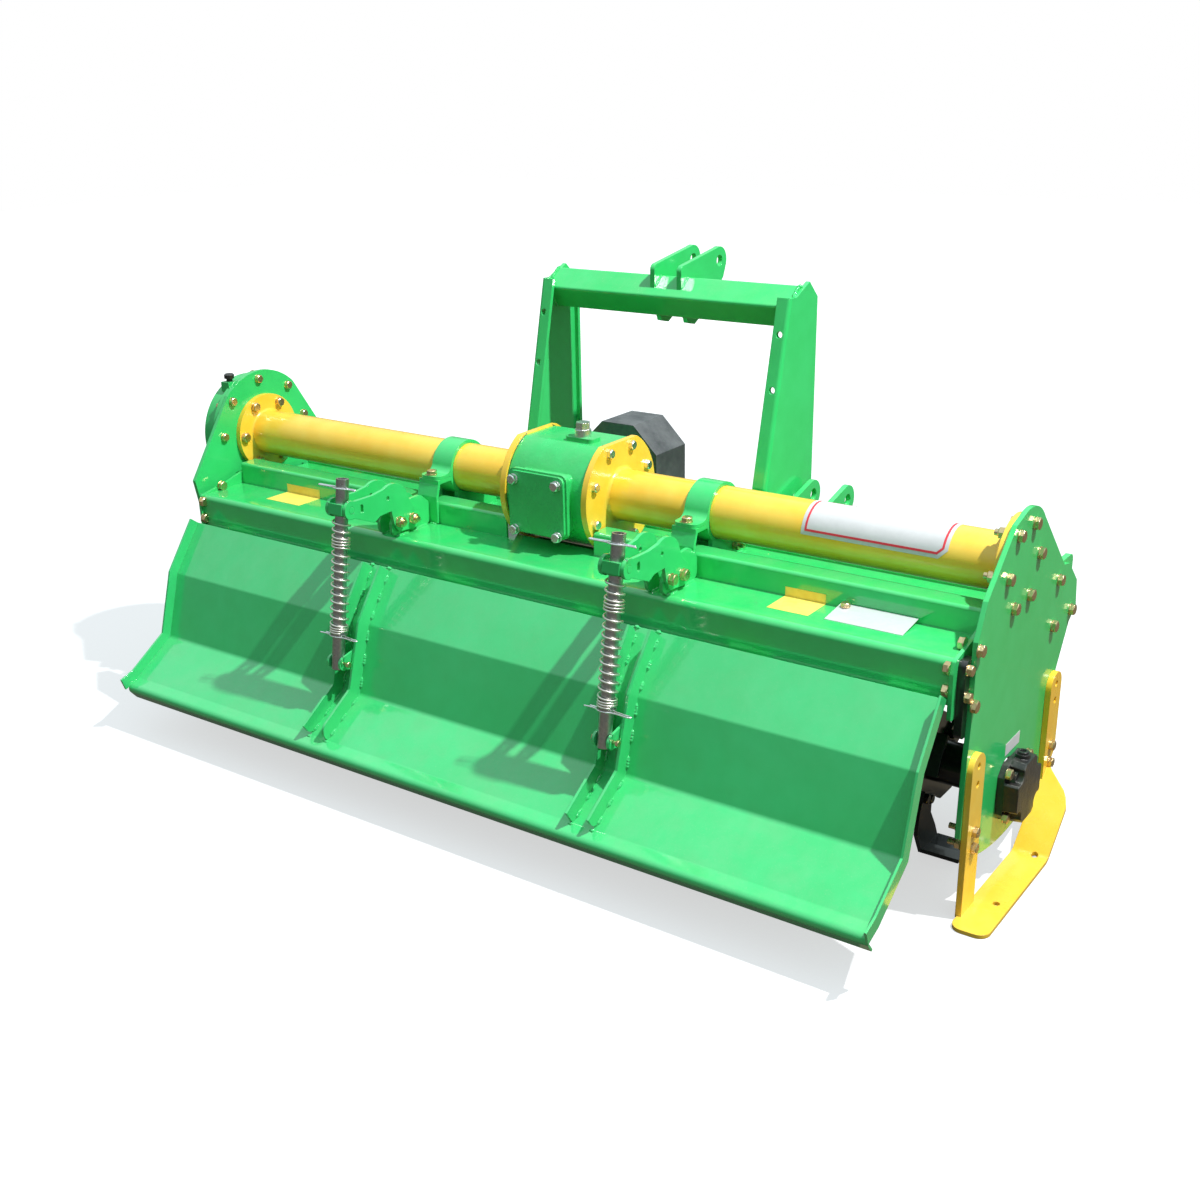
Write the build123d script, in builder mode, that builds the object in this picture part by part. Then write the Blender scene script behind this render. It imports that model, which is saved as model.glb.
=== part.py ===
"""A three-point-mounted rotary tiller with a side gear drive and a sprung trailing board.

Millimetres. +X is the machine's right, +Y its direction of travel and +Z up. The origin lies on
the ground below the middle, and the machine stands on its two skids.
"""

from build123d import *
from math import atan2, cos, degrees, hypot, radians, sin, sqrt
import os

os.makedirs("parts", exist_ok=True)

# Shafts and the carrying tube, which all run along X
tube_z = 650.0
tube_r = 57.15
tube_wall = 8.0
rotor_z = 208.0
blade_tip_r = 202.0
slack = 0.3

# Hood: a folded cover sheet with a raised ledge on it
hood_half = 996.0
knuckle_end_gap = 96.0
hood_t = 6.0
hood_rear_y = -248.0
hood_foot_z = 450.0
hood_top_z = 539.0
hood_bend = 14.0
ledge_rear_y = -113.0
ledge_front_y = -55.0
ledge_z = 592.0
ledge_lip = 18.0
stiffener_y = 122.0
stiffener_h = 25.0
gearbox_gap_half = 121.0
gearbox_gap_front_y = 85.0
gearbox_clear = 1.5
hood_end_t = 8.0
spacer_t = 15.0
spacer_rear_y, spacer_front_y = -236.0, -190.0
spacer_top_z, spacer_foot_z = 534.0, 380.0

# Side plates
side_t = 10.0
side_in = hood_half + hood_end_t + spacer_t
side_out = side_in + side_t
plate_foot_z = 98.0
plate_belly_z = 71.0
left_plate_top_r = 160.0
journal_hole_r = 42.0

# Front beam, which carries the headstock
beam_side = 80.0
beam_wall = 6.0
beam_y = 262.0
beam_z = 509.0
beam_corner = 8.0
beam_flange_t = 12.0
beam_flange_size = (150.0, 140.0)
apron_t = 6.0
apron_h = 70.0

# Trailing board: its outer line from the hinge down, and the hinge itself
board_overhang = 4.0
board_half = hood_half + board_overhang
board_t = 5.0
board_bend = 14.0
board_line = [(-273.0, 473.0), (-355.0, 361.0), (-402.0, 206.0), (-513.0, 134.0), (-554.0, 120.0)]
board_fold = (-525.0, 85.0)
board_end_t = 5.0
board_end_h = 25.0
rib_t = 6.0
rib_h = 35.0
rib_inner = 23.0
rib_top_gap = 7.0
hinge_y = -262.5
hinge_z = 455.0
hinge_pin_r = 6.5
hinge_pin_end = 965.0
knuckle_r = 10.0
knuckle_length = 50.0
knuckle_gap = 1.0
EAR_SHARES = (0.25, 0.64)
KNUCKLES = [share * (hood_half - knuckle_end_gap) for share in (-1, -0.62, -0.21, 0.21, 0.62, 1)]

# Struts that press the board down: a rod, its spring, and a trunnion between two arms
strut_x = 366.0
trunnion_y, trunnion_z = -381.0, 638.0
rod_eye_y, rod_eye_z = -432.0, 290.0
rod_r = 14.5
rod_bore_r = 10.0
rod_bore_depth = 60.0
rod_below_eye = 15.0
rod_above_trunnion = 66.0
eye_bolt_r = 4.0
eye_slack = 0.5
eye_slot = 5.5
ear_t = 6.0
ear_r = 16.0
washer_r = 20.0
washer_t = 3.0
lower_washer_from_eye = 65.0
spring_gap = 1.5
spring_r = 21.5
trunnion_depth = 44.0
trunnion_height = 24.0
trunnion_pin_r = 8.0
arm_t = 8.0
arm_inner = 22.0
arm_tip_r = 21.0
bracket_t = 8.0

# Gearbox in the middle of the tube
gearbox_half = 104.0
gearbox_r = 128.0
gearbox_top_z = tube_z + 116.0
gearbox_flange_r = 135.0
gearbox_flange_t = 14.0
tube_end_flange_r = 99.0
tube_end_flange_t = 14.0
neck_half, neck_foot_z, neck_top_z = 70.0, 583.0, 712.0
neck_rear_y = -140.0
cover_size = (156.0, 145.0)
cover_layers = (10.0, 8.0)
nose_r = 60.0
nose_y = 185.0
boss_x, boss_y = 35.0, -25.0
boss_h = 10.0
plug_r = 18.5
plug_h = 32.0
shaft_r = 17.45
shaft_root_r = 14.6
shaft_y = 270.0
shaft_depth = 30.0
spline_start_y = 195.0
spline_teeth = 6
spline_tooth_w = 8.6
guard_z = 656.0
guard_apothem = 106.0
guard_rear_y = 160.0
guard_front_y = 285.0
guard_t = 4.0

# Gear case outside the left plate
case_top_r = 157.0
case_foot_r = 120.0
case_rim_t = 14.0
case_rim_w = 12.0
case_depth = 66.0
case_boss_r = 55.0
case_boss_h = 7.0
breather_y = -75.0
breather_from_plate = 21.0
breather_sink = 15.0
breather_z = tube_z + case_top_r - breather_sink
breather_pad = 25.0
breather_neck_r, breather_neck_h = 8.0, 8.0
breather_cap_r, breather_cap_h = 13.0, 12.0

# Headstock
post_x = 345.0
post_t = 10.0
post_flange_w = 34.0
post_front_flange_w = 20.0
post_bend = 9.0
post_front_y = 470.0
post_front_foot_z = 560.0
post_hole_inset = 17.0
post_hole_r = 7.5
mast_beam_wall = 6.0
lug_outer = 43.0
lug_t = 12.0
lug_rear_y, lug_corner = 366.0, 14.0
top_link_y, top_link_z, top_link_r = 541.0, 1090.0, 13.0
mast_top_z = top_link_z - 20.0
MAST_BEAM = [
    (400.0, mast_top_z),
    (346.0, mast_top_z - 44.0),
    (390.0, mast_top_z - 98.0),
    (444.0, mast_top_z - 54.0),
]
POST_HOLES = (mast_top_z - 221.0, mast_top_z - 101.0)
top_lug_r = 33.0
hitch_x = 412.5
hitch_plate_gap = 76.0
hitch_t = 12.0
hitch_y, hitch_z, hitch_r = 426.0, 582.0, 14.5
hitch_tip_r = 35.0

# Clamps that hold the tube on the hood
clamp_x = 350.0
clamp_w = 58.0
clamp_seat = 0.35
strap_t = 8.0
strap_bend = 22.0
foot_corner = 16.0
saddle_t = 10.0
clamp_split_z = 642.0
clamp_foot_y = 112.0
leg_t = 8.0
saddle_gusset_t = 10.0

# Rotor
rotor_tube_r = 44.5
rotor_end_gap = 19.0
rotor_half = side_in - rotor_end_gap
journal_r = 30.0
journal_in = 31.0
rotor_flange_r = 100.0
rotor_flange_t = 10.0
ROTOR_FLANGES = (-4, -3, -2, -1, 0, 1, 2, 3, 4)
rotor_bare_end = 128.0
rotor_flange_pitch = (rotor_half - rotor_bare_end) / 4
blades_per_flange = 6
blade_t = 8.0
blade_foot = 78.0
blade_root_r = 68.0
blade_helix = 17.0
blade_heel, blade_toe = 10.0, 34.0

# Bearing cap outside the right plate
cap_y = 20.0
cap_drop = 22.0
cap_rim_t = 15.0
cap_rim_w, cap_rim_h = 128.0, 120.0
cap_rim_corner = 20.0
cap_depth = 44.0
cap_apothem = 67.0
cap_taper = 6.0
cap_pocket_r = 19.0
CAP_BOLTS = [(y, z) for y in (-54.0, 54.0) for z in (-48.0, 48.0)]
cap_boss_x = 25.0
cap_boss_r = 15.0
cap_boss_top = 74.0

# Skids
skid_bar_w = 65.0
skid_bar_t = 12.0
SKID_BARS = ((-187.0, 340.0), (238.0, 350.0))
runner_in = 4.0
runner_out = 78.0
runner_t = 8.0
runner_rear_y = -262.0
runner_flat_y = 78.0
runner_front_y, runner_front_z = 272.0, 163.0
runner_bend = 40.0
runner_corner = 24.0
RUNNER_NOSE = ((78.0, 170.0), (71.0, 185.0), (62.0, 196.0), (25.0, 225.0), (12.0, 240.0))
RUNNER_HOLES = (-138.0, 76.0)
runner_hole_x = 51.0
hole_r = 7.0
SKID_DROPS = (25.0, 63.0)

SIDES = (("right", 1), ("left", -1))


def parallel(points, distance):
    """The open line that runs the distance to the left of the points, with mitred corners."""
    normals = []
    for (y0, z0), (y1, z1) in zip(points, points[1:]):
        length = hypot(y1 - y0, z1 - z0)
        normals.append((-(z1 - z0) / length, (y1 - y0) / length))
    sides = [normals[0]] + normals + [normals[-1]]
    beside = []
    for (y, z), (ay, az), (by, bz) in zip(points, sides, sides[1:]):
        reach = distance / (1 + ay * by + az * bz)
        beside.append((y + reach * (ay + by), z + reach * (az + bz)))
    return beside


def folded(points, thickness, bend):
    """Fill the section of a folded sheet: its outer line, with the thickness laid to its left."""
    inner = parallel(points, thickness)
    inner_bends = []
    for (y0, z0), (y1, z1), (y2, z2) in zip(points, points[1:], points[2:]):
        turn = (y1 - y0) * (z2 - z1) - (z1 - z0) * (y2 - y1)
        inner_bends.append(bend - thickness if turn > 0 else bend + thickness)
    with BuildLine() as section_line:
        outer_line = FilletPolyline(*points, radius=bend)
        inner_line = FilletPolyline(*inner, radius=inner_bends)
        Line(outer_line @ 0, inner_line @ 0)
        Line(outer_line @ 1, inner_line @ 1)
    make_face(section_line.edges())


def strip(points, low, high):
    """Fill the band between two parallels of a line."""
    with BuildLine() as section_line:
        Polyline(*parallel(points, low), *reversed(parallel(points, high)), close=True)
    make_face(section_line.edges())


def outline(*points):
    """Fill a straight-sided outline."""
    with BuildLine() as section_line:
        Polyline(*points, close=True)
    make_face(section_line.edges())


def across(x):
    """The plane that faces +X at x: its own axes are Y and Z."""
    return Plane.YZ.offset(x)


def save(piece, name):
    """Label a finished piece and write it."""
    piece.part.label = name
    export_step(piece.part, f"parts/{name}.step")


# ---------------------------------------------------------------- hood
beam_rear_y = beam_y - beam_side / 2
beam_front_y = beam_y + beam_side / 2
beam_top_z = beam_z + beam_side / 2
beam_foot_z = beam_z - beam_side / 2
knuckle_step = knuckle_length + knuckle_gap

with BuildPart() as hood:
    with BuildSketch(across(-hood_half)):
        cover_line = [(beam_rear_y, hood_top_z), (hood_rear_y, hood_top_z), (hood_rear_y, hood_foot_z)]
        folded(cover_line, hood_t, hood_bend)
        ledge_foot_z = hood_top_z - hood_t / 2
        lip_foot_z = ledge_z - ledge_lip
        folded(
            [
                (ledge_front_y, lip_foot_z),
                (ledge_front_y, ledge_z),
                (ledge_rear_y, ledge_z),
                (ledge_rear_y, ledge_foot_z),
            ],
            hood_t,
            hood_bend / 2 + 1,
        )
        with Locations((stiffener_y, hood_top_z - hood_t / 2)):
            Rectangle(hood_t, stiffener_h + hood_t / 2, align=(Align.CENTER, Align.MIN))
    extrude(amount=2 * hood_half)
    gap_rear_y = ledge_rear_y - hood_t
    with BuildSketch(Plane.XY.offset(hood_top_z)):
        with Locations((0, (gap_rear_y + gearbox_gap_front_y) / 2)):
            Rectangle(2 * gearbox_gap_half, gearbox_gap_front_y - gap_rear_y)
    extrude(amount=2 * (ledge_z - hood_top_z), mode=Mode.SUBTRACT)
    axis_rise = tube_z - hood_top_z
    for half, sunk_r in ((gearbox_half - gearbox_clear, gearbox_r), (gearbox_gap_half, gearbox_flange_r)):
        cut_rear_y = -sqrt((sunk_r + gearbox_clear) ** 2 - axis_rise**2)
        with BuildSketch(Plane.XY.offset(hood_foot_z)):
            with Locations((0, (cut_rear_y + gearbox_gap_front_y) / 2)):
                Rectangle(2 * half, gearbox_gap_front_y - cut_rear_y)
        extrude(amount=hood_top_z - hood_foot_z, mode=Mode.SUBTRACT)
    for x in KNUCKLES:
        with BuildSketch(across(x + knuckle_step / 2 + knuckle_gap / 2)):
            with Locations((hinge_y, hinge_z)):
                Circle(knuckle_r)
                Rectangle(hood_rear_y - hinge_y + hood_t / 2, knuckle_r, align=(Align.MIN, Align.CENTER))
        extrude(amount=knuckle_length)
        with BuildSketch(across(x + knuckle_step / 2)):
            with Locations((hinge_y, hinge_z)):
                Circle(hinge_pin_r + slack)
        extrude(amount=knuckle_step, mode=Mode.SUBTRACT)
save(hood, "hood")

with BuildPart() as hinge_rod:
    with BuildSketch(across(-hinge_pin_end)):
        with Locations((hinge_y, hinge_z)):
            Circle(hinge_pin_r)
    extrude(amount=2 * hinge_pin_end)
    chamfer(hinge_rod.edges().filter_by(GeomType.CIRCLE), 1.5)
save(hinge_rod, "hinge_rod")

HOOD_END = [
    (hood_rear_y - 6, hood_foot_z - 29),
    (hood_rear_y - 8, hood_top_z - 25),
    (hood_rear_y, hood_top_z - 1),
    (-166, hood_top_z + 14),
    (-79, hood_top_z + 40),
    (-75, hood_top_z - 11),
    (-75, hood_foot_z - 10),
    (-120, hood_foot_z - 29),
]
for side, sign in SIDES:
    with BuildPart() as hood_end:
        with BuildSketch(across(sign * hood_half)) as section:
            outline(*HOOD_END)
            fillet(section.vertices(), 6)
        extrude(amount=sign * hood_end_t)
    save(hood_end, f"hood_end_{side}")
    with BuildPart() as spacer_bar:
        with BuildSketch(across(sign * (hood_half + hood_end_t))) as section:
            outline(
                (spacer_rear_y, spacer_foot_z),
                (spacer_rear_y, spacer_top_z),
                (spacer_front_y, spacer_top_z),
                (spacer_front_y, spacer_foot_z),
            )
            fillet(section.vertices(), 12)
        extrude(amount=sign * spacer_t)
    save(spacer_bar, f"spacer_bar_{side}")

# ---------------------------------------------------------------- side plates
plate_heel, plate_toe = (-139, plate_foot_z), (215, plate_foot_z)
PLATE_REAR = [(-179, tube_z - 16), (-212, tube_z - 84), (-215, 399), (-221, 337), (-227, 176), plate_heel]
PLATE_FRONT = [
    plate_toe,
    (262, 130),
    (beam_y - 1, 345),
    (beam_y + 56, beam_z - 75),
    (beam_y + 94, beam_z - 50),
    (beam_y + 83, beam_z + 10),
    (beam_y + 22, beam_z + 64),
    (beam_y - 11, beam_z + 70),
]
RIGHT_TOP = [(98, tube_z + 72), (40, tube_z + 107), (-20, tube_z + 104), (-58, tube_z + 94)]
shoulder = left_plate_top_r / sqrt(2)
LEFT_TOP = [
    (186, tube_z),
    (shoulder, tube_z + shoulder),
    (0, tube_z + left_plate_top_r),
    (-shoulder, tube_z + shoulder),
]
for side, sign in SIDES:
    with BuildPart() as side_plate:
        with BuildSketch(across(sign * side_in)) as section:
            with BuildLine():
                if side == "right":
                    Polyline(*PLATE_REAR)
                    Polyline(*PLATE_FRONT, RIGHT_TOP[0])
                    ThreePointArc(*RIGHT_TOP[:3])
                    Polyline(*RIGHT_TOP[2:], PLATE_REAR[0])
                else:
                    Polyline(LEFT_TOP[3], (-247, tube_z - 79), *PLATE_REAR[2:])
                    Polyline(*PLATE_FRONT, *LEFT_TOP[:2])
                    ThreePointArc(*LEFT_TOP[1:])
                ThreePointArc(plate_heel, ((plate_heel[0] + plate_toe[0]) / 2, plate_belly_z), plate_toe)
            make_face()
            with Locations((0, rotor_z)):
                Circle(journal_hole_r, mode=Mode.SUBTRACT)
        extrude(amount=sign * side_t)
    save(side_plate, f"side_plate_{side}")

# ---------------------------------------------------------------- front beam
with BuildPart() as front_beam:
    with BuildSketch(across(-side_in + beam_flange_t)):
        with Locations((beam_y, beam_z)):
            RectangleRounded(beam_side, beam_side, beam_corner)
            RectangleRounded(
                beam_side - 2 * beam_wall,
                beam_side - 2 * beam_wall,
                beam_corner - beam_wall,
                mode=Mode.SUBTRACT,
            )
    extrude(amount=2 * (side_in - beam_flange_t))
    for side, sign in SIDES:
        with BuildSketch(across(sign * (side_in - beam_flange_t))):
            with Locations((beam_y, beam_z)):
                RectangleRounded(*beam_flange_size, 2 * beam_corner)
        extrude(amount=sign * beam_flange_t)
save(front_beam, "front_beam")

with BuildPart() as front_apron:
    apron_y = beam_rear_y + beam_corner
    with BuildSketch(Plane.XY.offset(beam_foot_z - apron_h)):
        with Locations((0, apron_y + apron_t)):
            Rectangle(2 * (side_in - beam_flange_t), apron_t)
    extrude(amount=apron_h)
save(front_apron, "front_apron")

# ---------------------------------------------------------------- trailing board
top_y, top_z = board_line[0]
next_y, next_z = board_line[1]
first_run = hypot(next_y - top_y, next_z - top_z)
rib_share = rib_top_gap / first_run
rib_top = (top_y + (next_y - top_y) * rib_share, top_z + (next_z - top_z) * rib_share)
rib_line = [rib_top] + board_line[1:4]
lean = degrees(atan2(top_y - next_y, next_z - top_z))
mid_line = parallel(board_line, board_t / 2)
(ear_from_y, ear_from_z), (ear_to_y, ear_to_z) = mid_line[1:3]
ear_base = [
    (ear_from_y + share * (ear_to_y - ear_from_y), ear_from_z + share * (ear_to_z - ear_from_z))
    for share in EAR_SHARES
]
with BuildPart() as board:
    with BuildSketch(across(-board_half + board_end_t)):
        folded(board_line + [board_fold], board_t, board_bend)
    extrude(amount=2 * (board_half - board_end_t))
    for side, sign in SIDES:
        with BuildSketch(across(sign * (board_half - board_end_t))):
            strip(board_line, board_t, -board_end_h)
        extrude(amount=sign * board_end_t)
        for rib_x in (strut_x - rib_inner - rib_t, strut_x + rib_inner):
            with BuildSketch(across(sign * rib_x)) as section:
                strip(rib_line, board_t / 2, -rib_h)
                corners = section.vertices().sort_by(Axis.Z)
                fillet(corners[-2:].sort_by(Axis.Y)[0], 24)
                fillet(corners[:2].sort_by(Axis.Y)[0], 20)
            extrude(amount=sign * rib_t)
        for ear_x in (strut_x - rod_r - slack - ear_t, strut_x + rod_r + slack):
            with BuildSketch(across(sign * ear_x)) as section:
                with Locations((rod_eye_y, rod_eye_z)):
                    Circle(ear_r)
                ear_low = (rod_eye_y + 4, rod_eye_z - ear_r + 1)
                ear_high = (rod_eye_y - 5, rod_eye_z + ear_r - 1)
                outline(*ear_base, ear_low, ear_high)
                with Locations((rod_eye_y, rod_eye_z)):
                    Circle(eye_bolt_r + eye_slack, mode=Mode.SUBTRACT)
            extrude(amount=sign * ear_t)
    for x in KNUCKLES:
        with BuildSketch(across(x - knuckle_length / 2)):
            with Locations((hinge_y, hinge_z)):
                Circle(knuckle_r)
                Rectangle(17, knuckle_r, rotation=lean, align=(Align.MIN, Align.CENTER))
                Circle(hinge_pin_r + slack, mode=Mode.SUBTRACT)
        extrude(amount=knuckle_length)
save(board, "trailing_board")

# ---------------------------------------------------------------- struts
rod_length = hypot(trunnion_y - rod_eye_y, trunnion_z - rod_eye_z)
rod_way = ((trunnion_y - rod_eye_y) / rod_length, (trunnion_z - rod_eye_z) / rod_length)
spring_foot = lower_washer_from_eye + washer_t
spring_top = rod_length - trunnion_height / 2 - washer_t


def along_rod(sign, distance):
    """The plane square to a strut's rod, at a distance above its eye."""
    origin = (sign * strut_x, rod_eye_y + distance * rod_way[0], rod_eye_z + distance * rod_way[1])
    return Plane(origin=origin, x_dir=(1, 0, 0), z_dir=(0, *rod_way))


ARM_FOOT = [
    (-205, 641),
    (-193, 610),
    (-168, 588),
    (-160, 560),
    (-176, hood_top_z + 7),
    (-236, hood_top_z + 11),
    (-250, 572),
    (-257, 604),
    (-294, 602),
    (-313, 592),
    (trunnion_y + 6, trunnion_z - 20),
]
arm_top = (trunnion_y - 4, trunnion_z + 18)
ARM_CROWN = [(-276, trunnion_z + 22), (-238, trunnion_z + 27), ARM_FOOT[0]]
leg_rear_y = ledge_rear_y - leg_t
BRACKET = [
    (-250, hood_top_z),
    (-252, hood_top_z + 31),
    (-226, hood_top_z + 73),
    (-150, hood_top_z + 77),
    (leg_rear_y, hood_top_z + 51),
    (leg_rear_y, hood_top_z),
]
for side, sign in SIDES:
    with BuildPart() as arms:
        for arm_x in (strut_x - arm_inner - arm_t, strut_x + arm_inner):
            with BuildSketch(across(sign * arm_x)) as section:
                with BuildLine():
                    Polyline(arm_top, (-312, trunnion_z + 17), ARM_CROWN[0])
                    ThreePointArc(*ARM_CROWN)
                    Polyline(*ARM_FOOT, arm_top)
                make_face()
                with Locations((trunnion_y, trunnion_z)):
                    Circle(arm_tip_r)
                    Circle(trunnion_pin_r + slack, mode=Mode.SUBTRACT)
                with Locations((trunnion_y + 31, trunnion_z - 4)):
                    SlotOverall(20, 10, rotation=90, mode=Mode.SUBTRACT)
                with Locations((-266, trunnion_z - 2)):
                    Circle(5, mode=Mode.SUBTRACT)
            extrude(amount=sign * arm_t)
    save(arms, f"strut_arms_{side}")
    with BuildPart() as brackets:
        for bracket_x in (strut_x - arm_inner, strut_x + arm_inner - bracket_t):
            with BuildSketch(across(sign * bracket_x)) as section:
                outline(*BRACKET)
                fillet(section.vertices().group_by(Axis.Z)[-1], 18)
            extrude(amount=sign * bracket_t)
    save(brackets, f"strut_bracket_{side}")
    with BuildPart() as trunnion:
        with BuildSketch(along_rod(sign, rod_length - trunnion_height / 2)):
            RectangleRounded(2 * (arm_inner - slack), trunnion_depth, 3)
        extrude(amount=trunnion_height)
        for pin_sign in (1, -1):
            with BuildSketch(across(sign * strut_x + pin_sign * (arm_inner - slack))):
                with Locations((trunnion_y, trunnion_z)):
                    Circle(trunnion_pin_r)
            extrude(amount=pin_sign * (arm_t + 2 * slack))
        with BuildSketch(along_rod(sign, spring_top)):
            Circle(washer_r)
        extrude(amount=washer_t)
        with BuildSketch(along_rod(sign, spring_top)):
            Circle(rod_r + slack)
        extrude(amount=washer_t + trunnion_height, mode=Mode.SUBTRACT)
    save(trunnion, f"trunnion_{side}")
    with BuildPart() as rod:
        with BuildSketch(along_rod(sign, -rod_below_eye)):
            Circle(rod_r)
        extrude(amount=rod_below_eye + rod_length + rod_above_trunnion)
        with BuildSketch(along_rod(sign, lower_washer_from_eye)):
            Circle(washer_r)
        extrude(amount=washer_t)
        with BuildSketch(along_rod(sign, rod_length + rod_above_trunnion)):
            Circle(rod_bore_r)
        extrude(amount=-rod_bore_depth, mode=Mode.SUBTRACT)
        with BuildSketch(across(sign * strut_x - rod_r)):
            with Locations((rod_eye_y, rod_eye_z)):
                SlotOverall(
                    2 * (eye_bolt_r + eye_slot),
                    2 * (eye_bolt_r + eye_slack),
                    rotation=degrees(atan2(rod_way[1], rod_way[0])),
                )
        extrude(amount=2 * rod_r, mode=Mode.SUBTRACT)
    save(rod, f"rod_{side}")
    with BuildPart() as spring:
        with BuildSketch(along_rod(sign, spring_foot)):
            Circle(spring_r)
            Circle(rod_r + spring_gap, mode=Mode.SUBTRACT)
        extrude(amount=spring_top - spring_foot)
    save(spring, f"spring_{side}")

# ---------------------------------------------------------------- carrying tube and gearbox
for side, sign in SIDES:
    with BuildPart() as axle:
        with BuildSketch(across(sign * gearbox_half)):
            with Locations((0, tube_z)):
                Circle(tube_r)
                Circle(tube_r - tube_wall, mode=Mode.SUBTRACT)
        extrude(amount=sign * (side_in - gearbox_half))
        with BuildSketch(across(sign * gearbox_half)) as section:
            with Locations((0, tube_z)):
                Circle(gearbox_flange_r)
                Circle(tube_r - tube_wall, mode=Mode.SUBTRACT)
            with Locations((0, gearbox_top_z + 3)):
                Rectangle(3 * gearbox_r, gearbox_r, align=(Align.CENTER, Align.MIN), mode=Mode.SUBTRACT)
        extrude(amount=sign * gearbox_flange_t)
        with BuildSketch(across(sign * side_in)):
            with Locations((0, tube_z)):
                Circle(tube_end_flange_r)
                Circle(tube_r - tube_wall, mode=Mode.SUBTRACT)
        extrude(amount=-sign * tube_end_flange_t)
    save(axle, f"axle_tube_{side}")

with BuildPart() as gearbox:
    with BuildSketch(across(-gearbox_half)) as section:
        with Locations((0, tube_z)):
            Circle(gearbox_r)
        with Locations((0, gearbox_top_z)):
            Rectangle(3 * gearbox_r, gearbox_r, align=(Align.CENTER, Align.MIN), mode=Mode.SUBTRACT)
    extrude(amount=2 * gearbox_half)
    with BuildSketch(Plane.XZ.offset(tube_r)):
        with Locations((0, (neck_foot_z + neck_top_z) / 2)):
            RectangleRounded(2 * neck_half, neck_top_z - neck_foot_z, 12)
    extrude(amount=-neck_rear_y - tube_r)
    with BuildSketch(Plane.XZ.offset(-tube_r)):
        with Locations((0, tube_z)):
            Circle(nose_r)
    extrude(amount=tube_r - nose_y)
    with BuildSketch(Plane.XY.offset(gearbox_top_z)):
        with Locations((boss_x, boss_y)):
            RectangleRounded(75, 40, 10)
    extrude(amount=boss_h)
    with BuildSketch(Plane.XZ.offset(-nose_y)):
        with Locations((0, tube_z)):
            Circle(shaft_r + slack)
    extrude(amount=shaft_depth, mode=Mode.SUBTRACT)
save(gearbox, "gearbox")

with BuildPart() as gearbox_cover:
    with BuildSketch(Plane.XZ.offset(-neck_rear_y)):
        with Locations((0, (neck_foot_z + neck_top_z) / 2)):
            RectangleRounded(*cover_size, 16)
    extrude(amount=cover_layers[0])
    with BuildSketch(Plane.XZ.offset(-neck_rear_y + cover_layers[0])):
        with Locations((0, (neck_foot_z + neck_top_z) / 2)):
            RectangleRounded(cover_size[0] - 8, cover_size[1] - 8, 14)
    extrude(amount=cover_layers[1])
save(gearbox_cover, "gearbox_cover")

with BuildPart() as filler_plug:
    with BuildSketch(Plane.XY.offset(gearbox_top_z + boss_h)):
        with Locations((boss_x, boss_y)):
            Circle(plug_r)
    extrude(amount=plug_h / 2)
    with BuildSketch(Plane.XY.offset(gearbox_top_z + boss_h + plug_h / 2)):
        with Locations((boss_x, boss_y)):
            RegularPolygon(plug_r - 2, 6)
    extrude(amount=plug_h / 2)
save(filler_plug, "filler_plug")

with BuildPart() as input_shaft:
    with BuildSketch(Plane.XZ.offset(-nose_y + shaft_depth - slack)):
        with Locations((0, tube_z)):
            Circle(shaft_r)
    extrude(amount=-(shaft_y - nose_y + shaft_depth - slack))
    with BuildSketch(Plane.XZ.offset(-spline_start_y)):
        with Locations((0, tube_z)):
            Circle(shaft_r + 1)
            Circle(shaft_root_r, mode=Mode.SUBTRACT)
            with PolarLocations(shaft_r, spline_teeth):
                Rectangle(shaft_r, spline_tooth_w, mode=Mode.SUBTRACT)
    extrude(amount=-(shaft_y - spline_start_y), mode=Mode.SUBTRACT)
    chamfer(input_shaft.faces().sort_by(Axis.Y)[-1].edges(), 1.5)
save(input_shaft, "input_shaft")

with BuildPart() as guard:
    with BuildSketch(Plane.XZ.offset(-guard_rear_y)):
        with Locations((0, guard_z)):
            RegularPolygon(guard_apothem, 8, major_radius=False, rotation=22.5)
        with Locations((0, tube_z)):
            Circle(nose_r + slack, mode=Mode.SUBTRACT)
    extrude(amount=-guard_t)
    with BuildSketch(Plane.XZ.offset(-guard_rear_y)):
        with Locations((0, guard_z)):
            RegularPolygon(guard_apothem, 8, major_radius=False, rotation=22.5)
            RegularPolygon(guard_apothem - guard_t, 8, major_radius=False, rotation=22.5, mode=Mode.SUBTRACT)
    extrude(amount=guard_rear_y - guard_front_y)
save(guard, "pto_guard")

# ---------------------------------------------------------------- gear case on the left
case_face = side_out + case_depth
with BuildPart() as gear_case:
    with BuildSketch(across(-side_out)) as rim:
        with Locations((0, tube_z)):
            Circle(case_top_r)
        with Locations((0, rotor_z)):
            Circle(case_foot_r)
        make_hull()
    extrude(amount=-case_rim_t)
    with BuildSketch(across(-side_out)):
        with Locations((0, tube_z)):
            Circle(case_top_r - case_rim_w)
        with Locations((0, rotor_z)):
            Circle(case_foot_r - case_rim_w)
        make_hull()
    extrude(amount=-case_depth)
    chamfer(gear_case.faces().sort_by(Axis.X)[0].edges(), 9)
    for z in (tube_z, rotor_z):
        with BuildSketch(across(-case_face)):
            with Locations((0, z)):
                Circle(case_boss_r)
        extrude(amount=-case_boss_h)
    with BuildSketch(Plane.XY.offset(breather_z - breather_pad)):
        with Locations((-side_out - breather_from_plate, breather_y)):
            Rectangle(28, 34)
    extrude(amount=breather_pad)
    with BuildSketch(across(-side_out)):
        with Locations((0, rotor_z)):
            Circle(journal_r + slack)
    extrude(amount=-journal_in, mode=Mode.SUBTRACT)
save(gear_case, "gear_case")

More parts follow.
